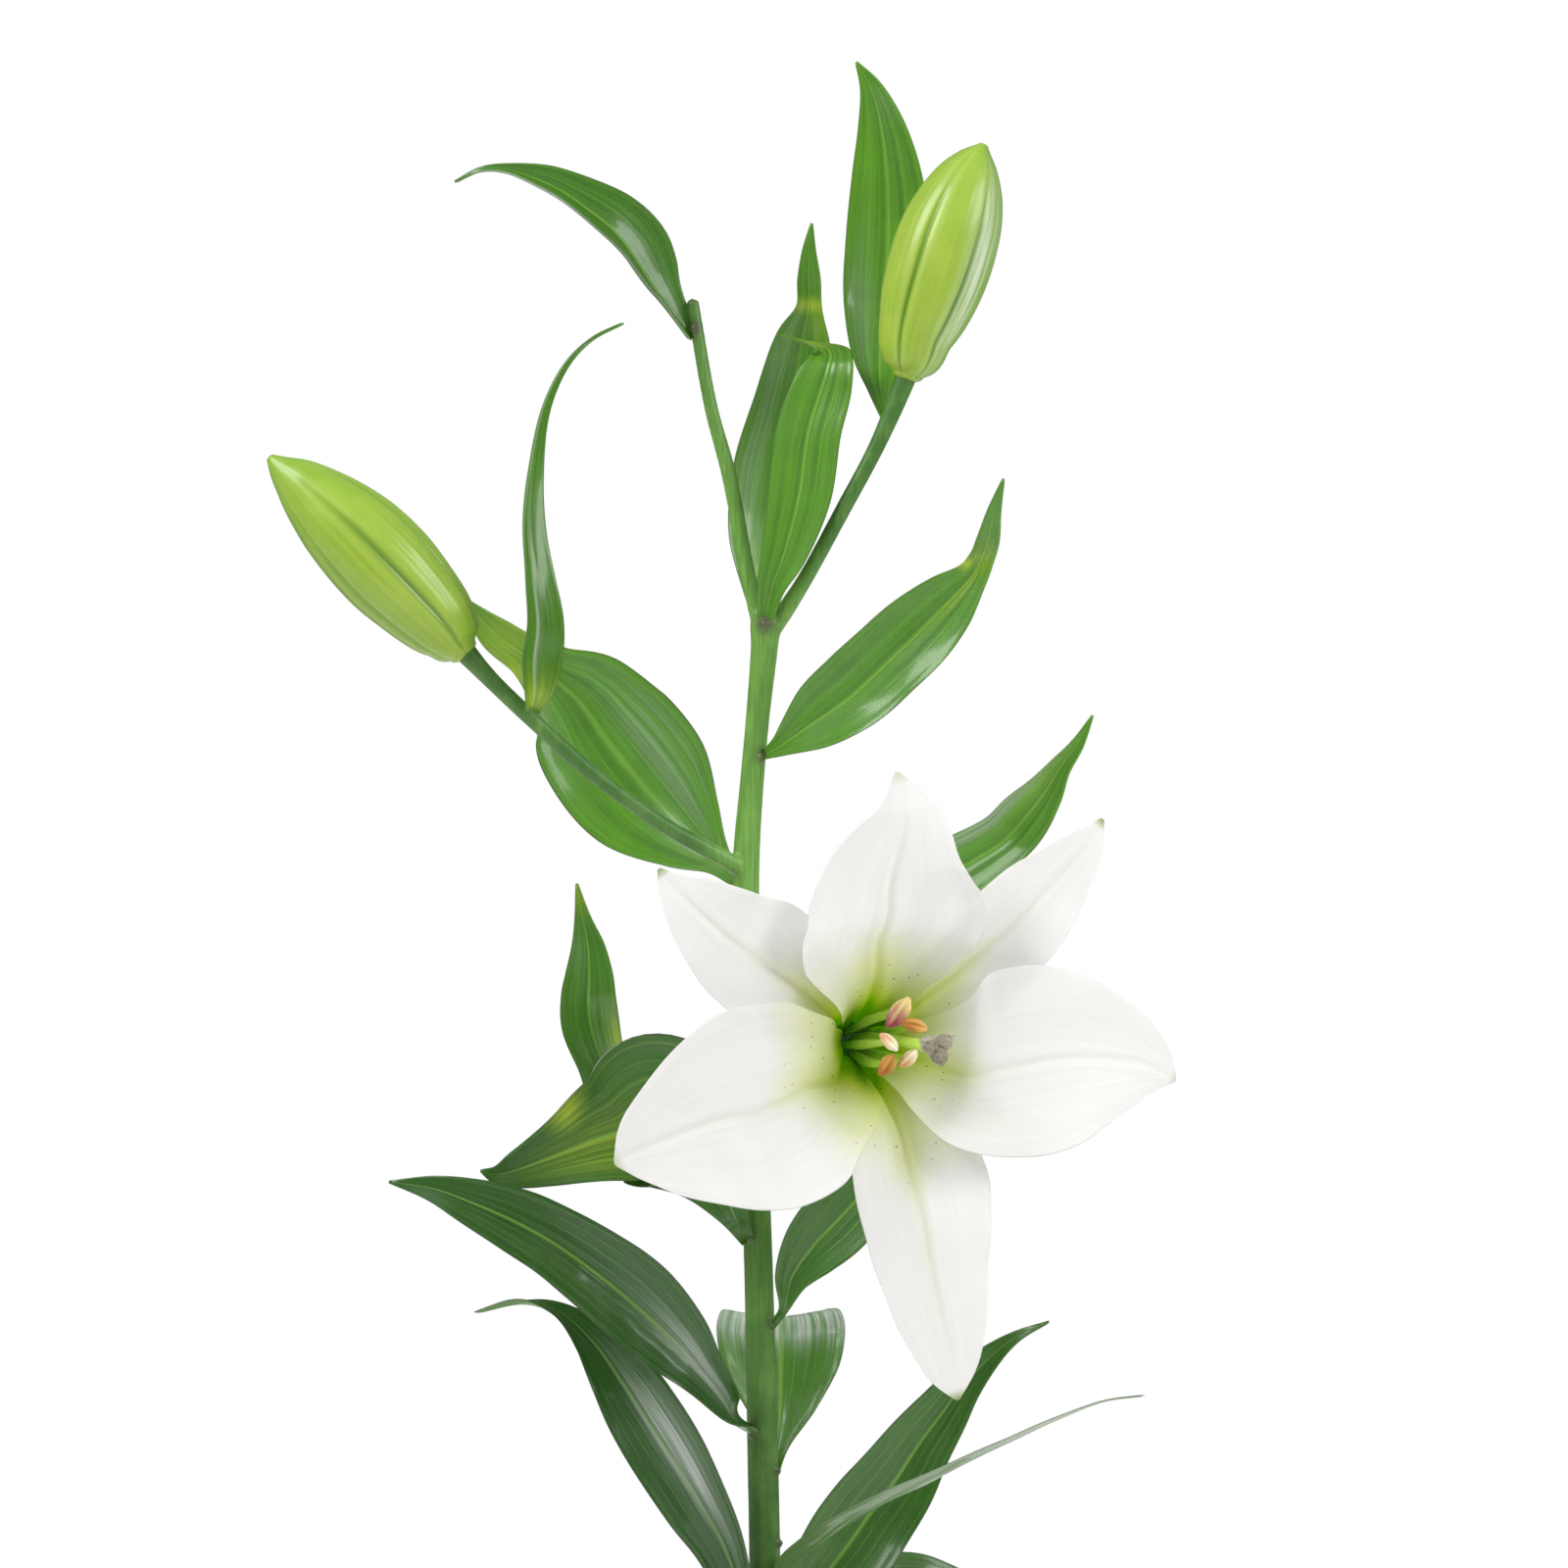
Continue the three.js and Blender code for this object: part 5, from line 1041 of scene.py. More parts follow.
# %% Bud green
def bud_skin():
    """A closed petal's outside: lime green with a satin wax, darker in the seams, with painted shade at the
    sides, streaked along by veins, and paler where the white petal inside begins to show. A painted sheen
    whitens the wax in streaks on one side. The streaks follow the bud, 50 round it."""
    material, tree, skin = start("bud_waxed_green", Roughness=0.38, IOR=1.42, Coat_Weight=0.25,
                                 Coat_Roughness=0.15)
    skin.inputs["Subsurface Weight"].default_value = 0.12
    skin.inputs["Subsurface Radius"].default_value = (0.002, 0.003, 0.001)
    place = node(tree, "ShaderNodeTexCoord", out="Object")
    uv = node(tree, "ShaderNodeUVMap", uv_map="skin")
    up = node(tree, "ShaderNodeSeparateXYZ", {0: uv}, out="Y")
    stretch = node(tree, "ShaderNodeMapping", {"Vector": uv, "Scale": (50, 1.5, 1)})
    streak = node(tree, "ShaderNodeTexNoise", {"Vector": stretch, "Scale": 1, "Detail": 4, "Roughness": 0.6})
    blotch = node(tree, "ShaderNodeTexNoise", {"Vector": place, "Scale": 90, "Detail": 4})
    seam, pale, rim, bloom_and_sheen = (node(tree, "ShaderNodeAttribute", out="Fac", attribute_name=name)
                              for name in ("seam", "pale", "rim", "bloom_and_sheen"))
    lime = {"Factor": streak, "A": linear("#7da326"), "B": linear("#abc248")}
    lime = node(tree, "ShaderNodeMix", lime, data_type="RGBA")
    end = node(tree, "ShaderNodeMapRange", {0: up, 1: 0.55, 2: 1, 3: 0, 4: 0.6})
    cloud = node(tree, "ShaderNodeMapRange", {0: blotch, 1: 0.4, 2: 0.8, 3: 0, 4: 0.3})
    # Painted sheen: white streaks on one side, where a highlight falls on the wax.
    wax = node(tree, "ShaderNodeMapRange", {0: streak, 1: 0.4, 2: 0.6, 3: 0.2, 4: 1})
    wax = node(tree, "ShaderNodeMath", {0: wax, 1: bloom_and_sheen}, operation="MULTIPLY")
    # The rim's darker green is painted shade at the bud's sides.
    for share, tint in [(end, "#7fa93c"), (cloud, "#bcd45c"), (pale, "#cfe08c"), (rim, "#4f8a26"),
                        (wax, "#dfe6da"), (seam, "#4f7d1c")]:
        lime = node(tree, "ShaderNodeMix", {"Factor": share, "A": lime, "B": linear(tint)},
                    data_type="RGBA")
    tree.links.new(lime, skin.inputs["Base Color"])
    relief = node(tree, "ShaderNodeBump", {"Height": streak, "Strength": 0.35, "Distance": 0.0003})
    tree.links.new(relief, skin.inputs["Normal"])
    return material


# %% Growing the buds
bud_material = bud_skin()
for bud in BUDS:
    points, parts, grid = tube(placed(bud["route"]), sides=180, steps=110, relief=furrows(bud["turn"]),
                               dome=0.45, caps=7)
    piece = add_piece(f"{bud['name']}_petals", points, parts)
    t, way = grid["t"], np.abs(np.sin(3 * (grid["angle"] + np.radians(bud["turn"]))))
    middle = along(placed(bud["route"]), t)
    aside = (points - middle[:, :3]) @ sideways(bud["route"]) / middle[:, 3]
    seam = bell(way, 0, bud["seam"]) * np.sin(np.pi * np.minimum(1, 0.15 + t))
    paint(piece, "seam", 0.9 * seam * (1 - bud["shy"] * np.clip(2 * np.abs(aside), 0, 1)))
    paint(piece, "pale", 0.1 * bell(way, 0.45, 0.2))
    # Painted shade darkens the rims, on the right bud only its right one, and a painted sheen whitens the
    # right bud's right side.
    paint(piece, "rim", np.where(aside < 0, bud["rim"][0], bud["rim"][1]) * aside**2)
    paint(piece, "bloom_and_sheen", bud["bloom_and_sheen"] * bell(aside, 0.72, 0.22) * np.sin(np.pi * t))
    dress(piece, [bud["name"]], bud_material)

# %% [markdown]
# ## The flower's frame
# A lily flower has its own axis, from the stalk to where it faces, and everything in it is placed by how
# far out along that axis it lies, how far from it, and at what angle round it. Two directions across the
# axis are enough.

# %% The axis and the spokes
# The seat, on the stalk's end, is [x, z, depth]; turn and lift are where the flower faces.
FLOWER = {"seat": (26.0, 365.0, -30.0), "turn": 22, "lift": 2}
seat = sight(*FLOWER["seat"])
axis = facing(FLOWER["turn"], FLOWER["lift"])
to_right = unit(-np.cross(axis, [0, 0, 1]))
to_top = unit(-np.cross(to_right, axis))


def spoke(angle):
    """The direction across the axis at an angle in degrees: 0 is right, 90 is up."""
    return to_right * np.cos(np.radians(angle)) + to_top * np.sin(np.radians(angle))


def in_flower(out, radius, angle):
    """A place in the flower: so far along its axis, and so far from it along a spoke."""
    return seat + axis * out + spoke(angle) * radius


print("the flower looks along", axis.round(2))

# %% [markdown]
# ## The six tepals
# A lily has no green sepals: three outer tepals and three broader inner ones, all white, grow as a funnel
# and then roll open. They are thin sheets like the leaves, on rows that start in the funnel and go on over
# free stations. Cloth simulation would sag them, but a petal is held stiff by water, so its waves are listed.

# %% Every tepal's stations
# With a tepal go the angle of its spoke, half its arc in the funnel and its cup, all in degrees, and how
# far in millimetres and how often its margins wave.
tepals = [
    dict(name="tepal_inner_top", ring="inner", angle=98, arc=[54, 59, 48], cup=[28, 16, 12, 10, 20],
         wave=1.4, waves=3,
         stations=[[36.8, 389.5, -68, 26], [38.7, 400.5, -73, 28.6], [38.6, 411.5, -75.5, 24.4],
                   [41, 422.5, -76, 16.8], [42.2, 432.5, -74.5, 10], [38.6, 443.5, -71, 0.5]]),
    dict(name="tepal_inner_left", ring="inner", angle=213, arc=[54, 50], cup=[34, 20, 12, 10, 14],
         wave=1.2, waves=2,
         stations=[[18.5, 354.6, -75.5, 22.6], [10.4, 349.3, -84.5, 27.6], [2, 346, -90.5, 28.8],
                   [-8, 343.6, -97, 27.2], [-20, 339.4, -101, 21.8], [-31.6, 335, -104.6, 14.4],
                   [-39.6, 331.8, -106, 7.2], [-43.6, 329, -106.5, 0.5]]),
    dict(name="tepal_inner_right", ring="inner", angle=-23, arc=[54, 50], cup=[30, 18, 12, 8, 10],
         wave=1, waves=2,
         stations=[[59, 356.6, -58, 22.4], [73, 358.6, -58.5, 27], [87.2, 360.6, -56, 25.8],
                   [99.2, 360.3, -51, 20.2], [110, 358.7, -45.6, 12.4], [116.5, 356, -41.5, 5.6],
                   [119.9, 353.6, -39, 0.5]]),
    dict(name="tepal_outer_left", ring="outer", angle=150, arc=[34, 32], cup=[34, 18, 12, 10, 16],
         wave=0.8, waves=2,
         stations=[[15.5, 378, -65.5, 13.5], [8, 383.5, -75, 17], [0, 388.5, -82.5, 17.4],
                   [-7.5, 393, -88.5, 15.6], [-15.5, 399.7, -92.5, 12.6], [-22.3, 406, -94.3, 8.6],
                   [-27.4, 410.7, -94.5, 4.3], [-30.8, 415.3, -94, 0.5]]),
    dict(name="tepal_outer_right", ring="outer", angle=42, arc=[34, 32], cup=[34, 18, 12, 10, 16],
         wave=0.8, waves=2,
         stations=[[55, 382.5, -49.6, 13], [66, 392.5, -51.6, 14.2], [75, 401, -52, 13.8],
                   [82, 408.5, -51.5, 11.8], [88.5, 415.5, -50, 9], [95, 423.8, -47.4, 4.8],
                   [98.7, 429.8, -45, 0.5]]),
    dict(name="tepal_outer_low", ring="outer", angle=277, arc=[34, 32], cup=[34, 18, 12, 10, 16],
         wave=0.8, waves=2,
         stations=[[42, 340, -56.6, 16.5], [45, 327, -62, 20], [47, 314.5, -65, 19.8],
                   [48.8, 302.5, -66.3, 18], [51.2, 289.5, -66, 15.2], [54, 276.5, -64, 11.2],
                   [55.3, 267, -61.8, 6.6], [56.5, 260.3, -60, 0.5]]),
]
# The funnel's course for each ring, as [way out, distance from the axis]. A tepal takes its direction over
# a wide step, so that it rolls open smoothly.
FUNNEL = {"inner": [[-1, 4.8], [5, 6.8], [12, 9.2], [21, 14.2], [28, 20]],
          "outer": [[-1, 6.6], [5, 8.8], [12, 11.6], [20, 16.8]]}
TEPAL_NEAR = 0.09


def tepal_rows(tepal):
    """Rows of a tepal's sheet. In the funnel, the way out, the radius and half the tepal's arc give the
    chord between its margins and a look towards the axis. On the free stations it looks along the axis, and
    still a little inwards."""
    out, radius = np.array(FUNNEL[tepal["ring"]], float).T
    arc, inward = evenly(tepal["arc"], np.linspace(0, 1, len(out)))[:, 0], -spoke(tepal["angle"])
    half, middle = radius * np.sin(np.radians(arc)), radius * np.cos(np.radians(arc))
    places = seat + out[:, None] * axis - middle[:, None] * inward
    look = inward + 0.2 * np.arange(len(out))[:, None] * axis
    tube_rows = np.hstack([places, half[:, None], arc[:, None], look])
    free = placed(tepal["stations"])
    t = np.linspace(0, 1, len(free))
    look = axis + 0.6 * (1 - t[:, None]) * inward
    return np.vstack([tube_rows, np.hstack([free, evenly(tepal["cup"], t), look])])


def tepal_veins(t, v, half):
    """Heights of both skins in millimetres. The face has a channel along the midrib between two low
    shoulders, the back a keel, and both have fine ribs side by side. All fade towards the tip."""
    x = np.abs(v) * half
    fade = (1 - t) ** 0.6 * np.minimum(1, half / 6)
    channel = 0.8 * bell(x, 0, 0.9) * fade
    shoulder = 0.6 * bell(x, 2.2, 1.3) * fade
    ribs = 0.035 * np.cos(2 * np.pi * 9 * np.abs(v)) * np.minimum(1, half / 8)
    return ribs + shoulder - channel, 0.9 * channel - ribs


# How far up a tepal its throat's green goes, how wide its midrib's tint is in millimetres, and how strong.
TINTS = {"tepal_inner_top": [0.24, 1.5, 0.9], "tepal_inner_left": [0.25, 1.4, 1.1],
         "tepal_inner_right": [0.18, 1.1, 0.3], "tepal_outer_left": [0.2, 2.2, 1],
         "tepal_outer_right": [0.2, 2.2, 0.6], "tepal_outer_low": [0.2, 2.6, 1.3]}
# Where the throat's green, its deepest green and its glow end: how far past that reach, how much further on
# the midrib, and over how wide an edge.
EDGES = {"throat": [0, 0.06, 0.028], "deep": [-0.06, 0.06, 0.02], "glow": [0.13, 0.09, 0.05]}
TIP = {"start": 0.965, "length": 0.03, "inner": 0.35}


def falling(x, middle, width):
    """A logistic step, from 1 before its middle to 0 after it."""
    return 1 / (1 + np.exp((x - middle) / width))


def tepal_tints(tepal, grid):
    """Where a tepal is green, 0 to 1. Each green of the throat falls away up the tepal, and later on the
    midrib. The midrib's tint is a bell across that fades towards the tip. An outer tepal's very tip is
    green too, and an inner one's fainter."""
    t, v = grid["t"], grid["v"]
    reach, width, strength = TINTS[tepal["name"]]
    near = bell(v, 0, 0.3)
    tints = {name: falling(t, reach + past + more * near, soft)
             for name, (past, more, soft) in EDGES.items()}
    tints["rib"] = strength * bell(v * grid["half"], 0, width) * (1 - t) ** 1.2
    tip = np.clip((t - TIP["start"]) / TIP["length"], 0, 1)
    tints["tip"] = tip if tepal["ring"] == "outer" else TIP["inner"] * tip
    return tints


# %% White petal tissue
def petal_white():
    """Petal tissue: colourless cells full of air, so it scatters light like snow and lets much of it
    through. The throat turns through lime to a strong green, the midrib keeps a breath of it, and by the
    throat lie brown specks, 4 mm apart and under a millimetre across. Veins run along it, 30 across, and
    their faint grey streaks are partly painted shade of soft folds. The skin's papillae are 0.5 mm apart."""
    material, tree, skin = start("petal_white_tissue", Roughness=0.5, IOR=1.38, Subsurface_Weight=0.12)
    skin.inputs["Subsurface Radius"].default_value = (0.003, 0.003, 0.0025)
    place = node(tree, "ShaderNodeTexCoord", out="Object")
    uv = node(tree, "ShaderNodeUVMap", uv_map="skin")
    throat, deep, glow, rib, tip = (node(tree, "ShaderNodeAttribute", out="Fac", attribute_name=name)
                                    for name in ("throat", "deep", "glow", "rib", "tip"))
    stretch = node(tree, "ShaderNodeMapping", {"Vector": uv, "Scale": (30, 1.5, 1)})
    vein = node(tree, "ShaderNodeTexNoise", {"Vector": stretch, "Scale": 1, "Detail": 4, "Roughness": 0.6})
    papilla = node(tree, "ShaderNodeTexVoronoi", {"Vector": place, "Scale": 2000})
    cloud = node(tree, "ShaderNodeTexNoise", {"Vector": place, "Scale": 60, "Detail": 3})
    # The grey streaks along the veins are partly painted shade of soft folds.
    white = node(tree, "ShaderNodeMix", {"Factor": vein, "A": linear("#eeedec"), "B": linear("#fbfaf9")},
                 data_type="RGBA")
    edge = node(tree, "ShaderNodeMath", {0: cloud, 1: 0.5, 2: glow}, operation="MULTIPLY_ADD")
    edge = node(tree, "ShaderNodeMapRange", {0: edge, 1: 0.35, 2: 1.35, 3: 0, 4: 0.75})
    faint = node(tree, "ShaderNodeMath", {0: rib, 1: 0.35}, operation="MULTIPLY")
    lime = {"Factor": deep, "A": linear("#c9d83a"), "B": linear("#8fc00c")}
    lime = node(tree, "ShaderNodeMix", lime, data_type="RGBA")
    dots = node(tree, "ShaderNodeTexVoronoi", {"Vector": place, "Scale": 260, "Randomness": 1})
    dots = node(tree, "ShaderNodeMapRange", {0: dots, 1: 0.06, 2: 0.11, 3: 0.75, 4: 0})
    zone = node(tree, "ShaderNodeMapRange", {0: glow, 1: 0.12, 2: 0.5})
    dots = node(tree, "ShaderNodeMath", {0: zone, 1: dots}, operation="MULTIPLY")
    for share, tint in [(edge, linear("#d6e05a")), (faint, linear("#dbe39a")), (throat, lime),
                        (tip, linear("#a9b878")), (dots, linear("#8a6a3a"))]:
        white = node(tree, "ShaderNodeMix", {"Factor": share, "A": white, "B": tint}, data_type="RGBA")
    tree.links.new(white, skin.inputs["Base Color"])
    fine = node(tree, "ShaderNodeMath", {0: papilla, 1: 0.25, 2: vein}, operation="MULTIPLY_ADD")
    relief = node(tree, "ShaderNodeBump", {"Height": fine, "Strength": 0.2, "Distance": 0.0003})
    tree.links.new(relief, skin.inputs["Normal"])
    thin = node(tree, "ShaderNodeMath", {0: throat, 1: 0.4, 2: 0.36}, operation="MULTIPLY_ADD")
    through(tree, skin, white, thin)
    return material


# %% Growing the tepals
TEPAL_THICK = {"middle": 1.0, "margin": 0.4}
petal_skin = petal_white()
for number, tepal in enumerate(tepals):
    piece, grid = sheet(f"{tepal['name']}_petal", tepal_rows(tepal), fold=4, thick=TEPAL_THICK,
                        veins=tepal_veins, steps=150, across=44, wave=tepal["wave"], waves=tepal["waves"],
                        frill=0.35, soft=1.3, seed=number, near=TEPAL_NEAR)
    for title, values in tepal_tints(tepal, grid).items():
        paint(piece, title, values)
    dress(piece, [tepal["name"]], petal_skin)

# %% [markdown]
# ## Pistil and stigma
# In the middle stands the ovary, a green column with six ribs. Its style ends in the stigma, three sticky
# lobes as a small cushion. Both are round bodies again, and the lobes are fused by a Remesh so that they
# meet in creases.

# %% The pistil
# Rows of [way out, way off the flower's axis, radius].
pistil_route = np.array([[0.3, 0, 1.6], [4, 0, 2], [14, 0.7, 2], [19, 1, 1.5], [40, 0, 1.5],
                         [56, -1.2, 1.8]])
pistil_middle = seat + pistil_route[:, :1] * axis + pistil_route[:, 1:2] * spoke(90)
pistil_rows = np.hstack([pistil_middle, pistil_route[:, 2:]])


def ovary(angle, t):
    """Six round ribs on the lowest third, which sink into the smooth style above it."""
    return 1 + 0.12 * np.cos(6 * angle) * falling(t, 0.3, 0.03)


points, parts, _ = tube(pistil_rows, sides=48, steps=90, relief=ovary, lean=(0, 0, 1), dome=0.4)
pistil = add_piece("pistil_style", points, parts)


def style_green():
    """Style and filament: watery green stalks, satin, a little see-through, paler towards the end. The
    colour drifts along them in clouds 15 mm long."""
    material, tree, skin = start("style_green_tissue", Roughness=0.38, IOR=1.4, Subsurface_Weight=0.25)
    skin.inputs["Subsurface Radius"].default_value = (0.001, 0.0014, 0.0006)
    place = node(tree, "ShaderNodeTexCoord", out="Object")
    cloud = node(tree, "ShaderNodeTexNoise", {"Vector": place, "Scale": 66, "Detail": 3})
    green = {"Factor": cloud, "A": linear("#9ccb34"), "B": linear("#c4df6c")}
    green = node(tree, "ShaderNodeMix", green, data_type="RGBA")
    tree.links.new(green, skin.inputs["Base Color"])
    return material


style_skin = style_green()
dress(pistil, ["pistil"], style_skin)

# %% The stigma
# The angle of each lobe round the pistil, and the way that a lobe takes, as [out, off the pistil, radius].
LOBES = [156, 33, 290]
lobe_route = np.array([[56, 0.4, 1.8], [58.4, 1.8, 2.5], [59.4, 3.6, 2.2], [59.2, 4.8, 1]])


def lobe(angle):
    """One lobe: its route, turned to its angle and moved to the pistil's end."""
    places = seat + lobe_route[:, :1] * axis + lobe_route[:, 1:2] * spoke(angle)
    places = places + pistil_route[-1, 1] * spoke(90)
    return tube(np.hstack([places, lobe_route[:, 2:]]), sides=24, steps=20)


stigma = add_piece("stigma_lobes", *together([lobe(angle) for angle in LOBES]))
fuse(stigma, voxel=0.22, smooth=2)


def stigma_velvet():
    """The stigma's surface: sticky velvet, grey with a brown shade, lighter on the tips of its nap. The
    knobs of the nap are drawn 0.7 mm apart, coarser than they are, so that they show."""
    material, tree, skin = start("stigma_sticky_velvet", Roughness=0.6, IOR=1.4, Sheen_Weight=0.1)
    place = node(tree, "ShaderNodeTexCoord", out="Object")
    nap = node(tree, "ShaderNodeTexNoise", {"Vector": place, "Scale": 1400, "Detail": 3, "Roughness": 0.6})
    spot = node(tree, "ShaderNodeMapRange", {0: nap, 1: 0.25, 2: 0.7})
    cloud = node(tree, "ShaderNodeTexNoise", {"Vector": place, "Scale": 250, "Detail": 1})
    cloud = node(tree, "ShaderNodeMapRange", {0: cloud, 1: 0.42, 2: 0.58})
    grey = {"Factor": spot, "A": linear("#6b6a57"), "B": linear("#b8b59c")}
    grey = node(tree, "ShaderNodeMix", grey, data_type="RGBA")
    brown = {"Factor": spot, "A": linear("#5e594b"), "B": linear("#a39c86")}
    brown = node(tree, "ShaderNodeMix", brown, data_type="RGBA")
    grey = node(tree, "ShaderNodeMix", {"Factor": cloud, "A": grey, "B": brown}, data_type="RGBA")
    tree.links.new(grey, skin.inputs["Base Color"])
    relief = node(tree, "ShaderNodeBump", {"Height": nap, "Strength": 0.8, "Distance": 0.0005})
    tree.links.new(relief, skin.inputs["Normal"])
    return material


dress(stigma, ["stigma"], stigma_velvet())

# %% [markdown]
# ## Stamens
# Six filaments stand round the pistil, each with an anther hung across its tip. An anther is two long sacs
# side by side, and when ripe they split and show the pollen. Its body is a tube with a groove on the face
# and on the back, and a grain over it that is too coarse for pollen, so that it shows.

# %% Six stamens
# With each go its angle round the axis, its anther's radius, the two ends of the anther as [x, z, depth],
# and its pollen. FILAMENT holds the thread's radii, and ANTHER rows of [share of the way between the ends,
# way out in millimetres, share of the radius].
stamens = [
    dict(angle=130, radius=2.6, ends=[[36.5, 369.8, -66], [42, 377, -67]], dust="pink"),
    dict(angle=20, radius=1.9, ends=[[40.6, 370.4, -70.5], [47, 368.6, -69]], dust="orange"),
    dict(angle=195, radius=1.7, ends=[[34.3, 366.8, -70], [38.6, 362.6, -72]], dust="cream"),
    dict(angle=255, radius=2.1, ends=[[34, 355.6, -68], [37.6, 360.6, -66]], dust="orange"),
    dict(angle=310, radius=1.8, ends=[[39.9, 358, -66], [44.1, 361.9, -65]], dust="cream"),
    dict(angle=75, radius=1.6, ends=[[38, 372.8, -56], [40.8, 375.8, -56]], dust="cream"),
]
FILAMENT = [1, 1.4, 0.8]
ANTHER = np.array([[0, -0.5, 0.4], [0.2, 0, 0.82], [0.5, 0.2, 1], [0.8, 0, 0.82], [1, -0.5, 0.4]])


def two_sacs(angle, t):
    """The radius dips at the face and the back of the anther, between its two sacs, whose lips stand up
    where they have split, and it is rough all over."""
    groove = 0.42 * bell(np.sin(angle), 0, 0.3) * (0.4 + 0.6 * np.sin(np.pi * t))
    lips = 0.1 * bell(np.abs(np.sin(angle)), 0.5, 0.15)
    grain = 0.03 * np.sin(23 * angle + 40 * t) * np.sin(61 * t + 5 * angle)
    return 1.04 - groove + lips + grain


def stamen(angle, radius, ends):
    """Rows of the filament, which bows outwards from the funnel's floor, and of the anther across its
    tip."""
    a, b = (sight(*np.array(end, float)) for end in ends)
    root = in_flower(0.4, 3.3, angle)
    meet = (a + b) / 2 - axis * (0.5 * radius)
    bow = root + 0.45 * (meet - root) + spoke(angle)
    thread = np.hstack([[root, bow, meet], np.array(FILAMENT)[:, None]])
    body = a + ANTHER[:, :1] * (b - a) + ANTHER[:, 1:2] * axis
    return thread, np.hstack([body, ANTHER[:, 2:] * radius])


# %% Pollen
def pollen(title, colour, bright):
    """An anther's wall and its pollen: a dry powder in grains, dull, from cream to rust as each anther
    ripens. It ripens from one end, in streaks along the sacs. The grains are drawn 0.3 mm apart, so that
    they show."""
    material, tree, skin = start(title, Roughness=0.85, IOR=1.4, Sheen_Weight=0.15)
    place = node(tree, "ShaderNodeTexCoord", out="Object")
    grain = node(tree, "ShaderNodeTexVoronoi", {"Vector": place, "Scale": 3300})
    uv = node(tree, "ShaderNodeUVMap", uv_map="skin")
    stretch = node(tree, "ShaderNodeMapping", {"Vector": uv, "Scale": (9, 1.2, 1)})
    streak = node(tree, "ShaderNodeTexNoise", {"Vector": stretch, "Scale": 1, "Detail": 3})
    end = node(tree, "ShaderNodeSeparateXYZ", {0: uv}, out="Y")
    ripe = node(tree, "ShaderNodeMath", {0: streak, 1: 1.6, 2: end}, operation="MULTIPLY_ADD")
    ripe = node(tree, "ShaderNodeMapRange", {0: ripe, 1: 1.0, 2: 1.6})
    dust = {"Factor": ripe, "A": linear(colour), "B": linear(bright)}
    dust = node(tree, "ShaderNodeMix", dust, data_type="RGBA")
    tree.links.new(dust, skin.inputs["Base Color"])
    relief = node(tree, "ShaderNodeBump", {"Height": grain, "Strength": 0.5, "Distance": 0.0002})
    tree.links.new(relief, skin.inputs["Normal"])
    return material


# %% Growing the stamens
DUST = {"pink": ("#b5506a", "#e8d08c"), "orange": ("#b5702c", "#e0ae5c"), "cream": ("#dfa878", "#f3eccb")}
dusts = {name: pollen(f"pollen_{name}", *colours) for name, colours in DUST.items()}
for number, each in enumerate(stamens, 1):
    thread, body = stamen(each["angle"], each["radius"], each["ends"])
    points, parts, _ = tube(thread, sides=20, steps=50, lean=(0, 0, 1))
    filament = add_piece(f"filament_{number}_stalk", points, parts)
    dress(filament, [f"filament_{number}"], style_skin)
    points, parts, _ = tube(body, sides=44, steps=60, relief=two_sacs, lean=tuple(axis.tolist()), dome=0.8)
    anther = add_piece(f"anther_{number}_sacs", points, parts)
    dress(anther, [f"anther_{number}"], dusts[each["dust"]])

# %% [markdown]
# ## Floor, light and camera
# The plant stands before plain white, in light from wide soft boxes. The floor is a plain pale disc whose
# rim fades away, so no edge or horizon shows. A sky image would put a room's colours on the white petals,
# so the world is one white. The camera alone sees it in full. What lights the plant is dimmer, and what the
# wax mirrors is dimmer still, so that the two boxes in front, set high, can draw streaks on the leaves and
# shade on the petals. The box behind shines through petals and leaves, and isn't mirrored in their margins.

# %% The pale floor
FLOOR = {"radius": 1380, "fade": 700, "height": -0.2, "sides": 128}


def pale_floor():
    """A flat disc just under the pot, in painted board, that fades to nothing between two radii."""
    angle = np.arange(FLOOR["sides"] + 1) * 2 * np.pi / FLOOR["sides"]
    radius = np.array([[1.0], [FLOOR["fade"]], [FLOOR["radius"]]])
    height = FLOOR["height"] + 0 * radius * angle
    grid = np.stack([radius * np.cos(angle), radius * np.sin(angle), height], axis=-1)
    cells = quads(np.arange(grid[..., 0].size).reshape(grid.shape[:2]))[:, ::-1]
    floor = add_piece("floor", grid.reshape(-1, 3), [(cells, np.zeros((*cells.shape, 2)))])
    material, tree, skin = start("floor_matt_white_board", Roughness=0.9)
    skin.inputs["Base Color"].default_value = linear("#f2f2f0")
    place = node(tree, "ShaderNodeTexCoord", out="Object")
    away = node(tree, "ShaderNodeVectorMath", {0: place}, out="Value", operation="LENGTH")
    fade = {0: away, 1: FLOOR["fade"] * MM, 2: FLOOR["radius"] * MM, 3: 1, 4: 0}
    fade = node(tree, "ShaderNodeMapRange", fade, interpolation_type="SMOOTHSTEP")
    tree.links.new(fade, skin.inputs["Alpha"])
    floor.data.materials.append(material)
    floor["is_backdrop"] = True


pale_floor()


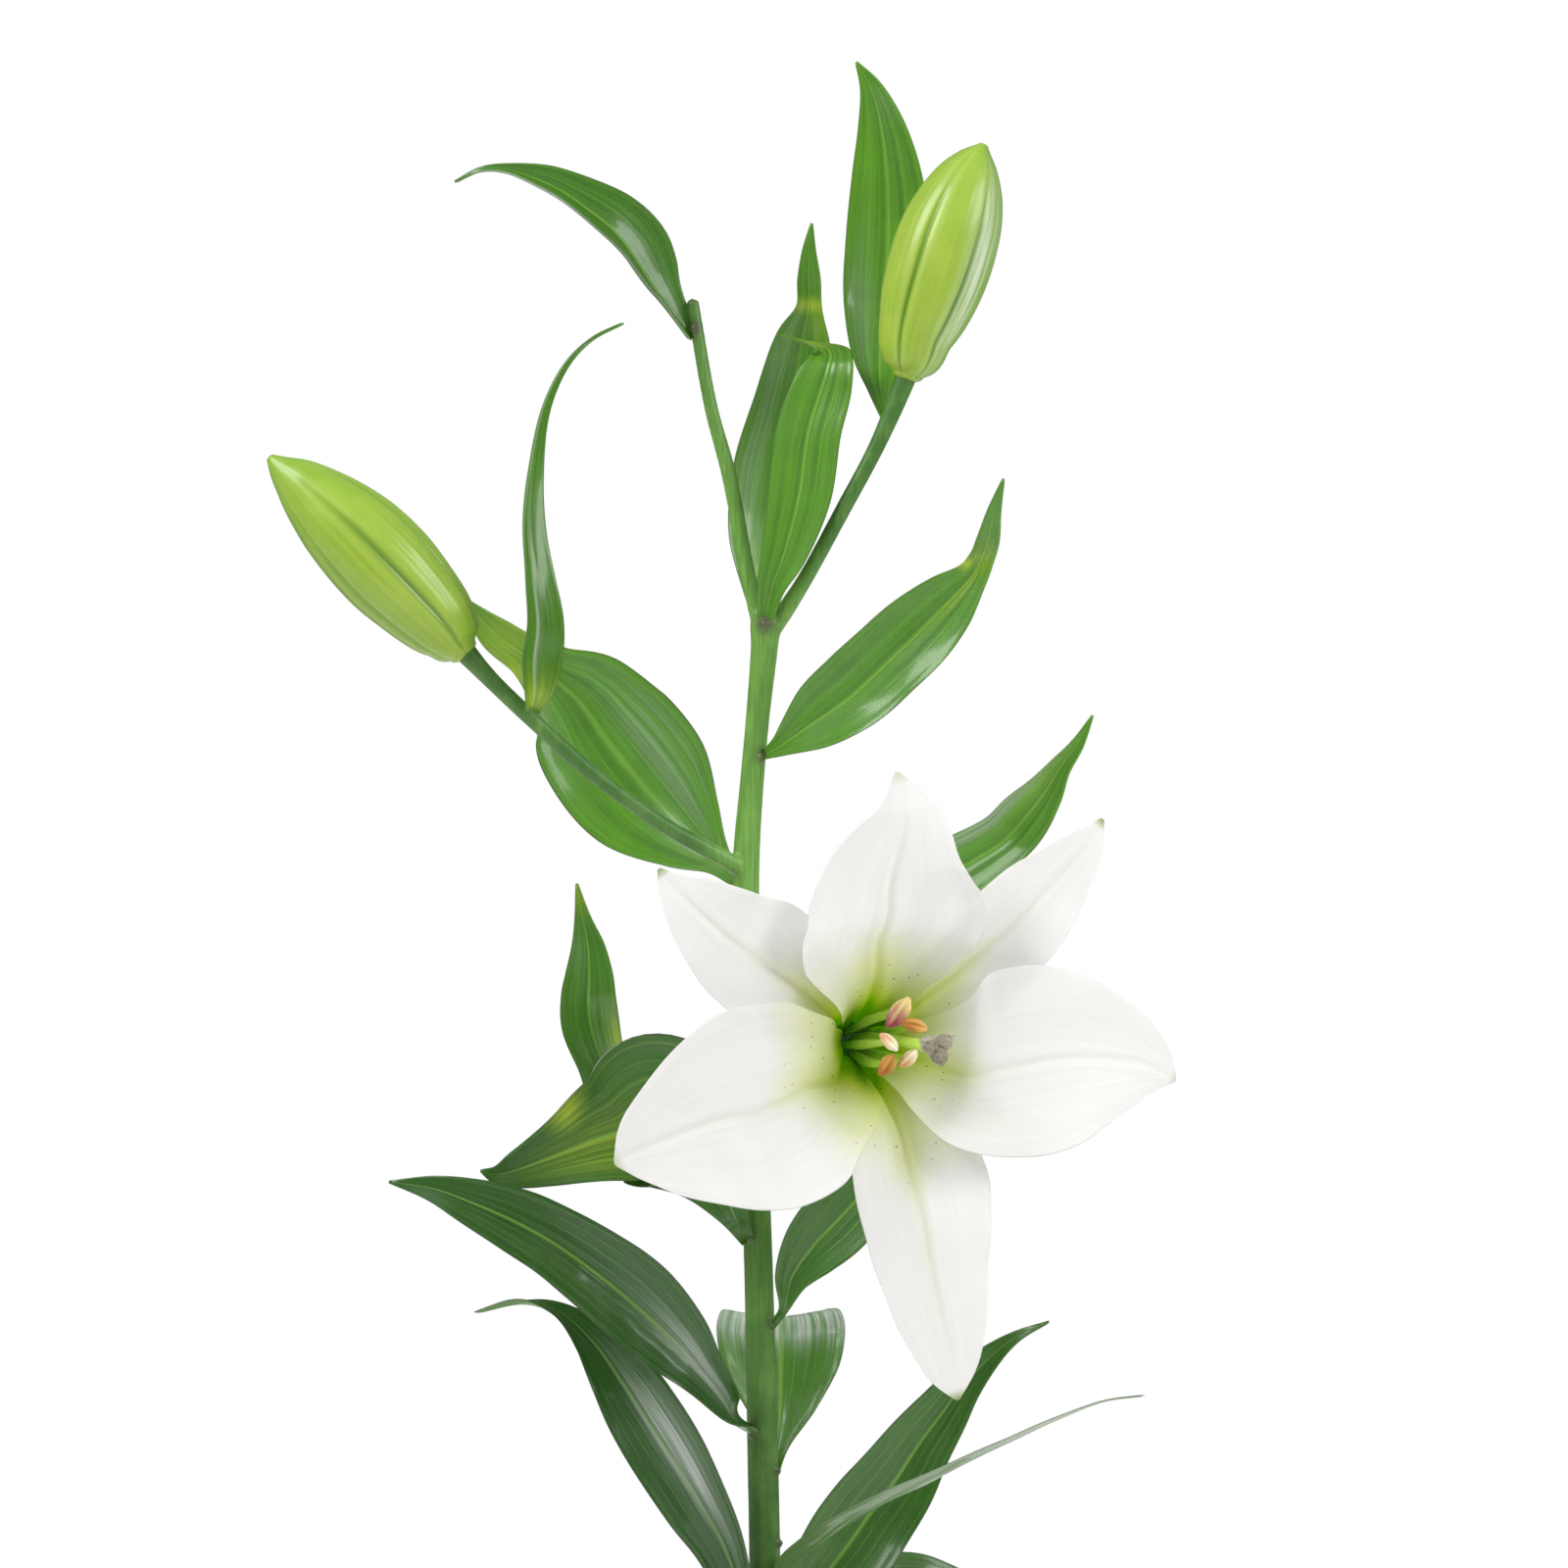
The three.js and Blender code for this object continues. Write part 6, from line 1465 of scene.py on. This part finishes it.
# %% White ground and soft boxes
def ground_white(seen, lit, mirrored):
    """The world: white to the camera, a dimmer white to all that it lights, and dimmer still in
    reflections."""
    world = bpy.data.worlds.new("white_ground")
    world.use_nodes = True
    bpy.context.scene.world = world
    tree = world.node_tree
    white = tree.nodes["Background"]
    white.inputs["Color"].default_value = (1, 1, 1, 1)
    eye = node(tree, "ShaderNodeLightPath", out="Is Camera Ray")
    mirror = node(tree, "ShaderNodeLightPath", out="Is Glossy Ray")
    power = node(tree, "ShaderNodeMapRange", {0: mirror, 1: 0, 2: 1, 3: lit, 4: mirrored})
    power = node(tree, "ShaderNodeMapRange", {0: eye, 1: 0, 2: 1, 3: power, 4: seen})
    tree.links.new(power, white.inputs["Strength"])


def soft_box(name, place, target, size, watts):
    """A square area light in millimetres that looks at a target."""
    light = bpy.data.lights.new(name, "AREA")
    light.size, light.energy = size * MM, watts
    lamp = bpy.data.objects.new(name, light)
    bpy.context.scene.collection.objects.link(lamp)
    way = np.array(target, float) - np.array(place, float)
    lamp.rotation_euler = (np.arctan2(np.hypot(way[0], way[1]), -way[2]), 0, np.arctan2(-way[0], way[1]))
    lamp.location = np.array(place, float) * MM
    return lamp


MIDDLE = (0, 0, 420)
ground_white(seen=1.0, lit=0.42, mirrored=0.18)
soft_box("box_left", (-1000, -700, 1550), MIDDLE, size=900, watts=23)
soft_box("box_right", (1200, -700, 1100), MIDDLE, size=800, watts=14)
behind = soft_box("box_back", (300, 1300, 1300), MIDDLE, size=900, watts=21)
behind.visible_glossy = False

# %% The camera
# It stands at the eye where the lines of sight meet.
CAMERA = {"place": (5.714, -1600, 440), "lens": 126, "sensor": 36}
lens = bpy.data.cameras.new("camera")
lens.lens, lens.sensor_width = CAMERA["lens"], CAMERA["sensor"]
camera = bpy.data.objects.new("camera", lens)
camera.location = np.array(CAMERA["place"]) * MM
camera.rotation_euler = (np.pi / 2, 0, 0)
bpy.context.scene.collection.objects.link(camera)
bpy.context.scene.camera = camera
bpy.context.scene.view_settings.view_transform = "Standard"

# %% [markdown]
# ## Sizes
# The finished pieces are measured against the frame that they grew on, so that anyone can see that they
# don't make the plant bigger than its solids, but for a tenth of a millimetre.

# %% Measuring
dressed_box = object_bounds()
sizes = {"cad": [list(corner) for corner in cad_box], "dressed": [list(corner) for corner in dressed_box]}
for name, box in sizes.items():
    print(name, "box in mm:", [[round(value / MM, 1) for value in corner] for corner in box])
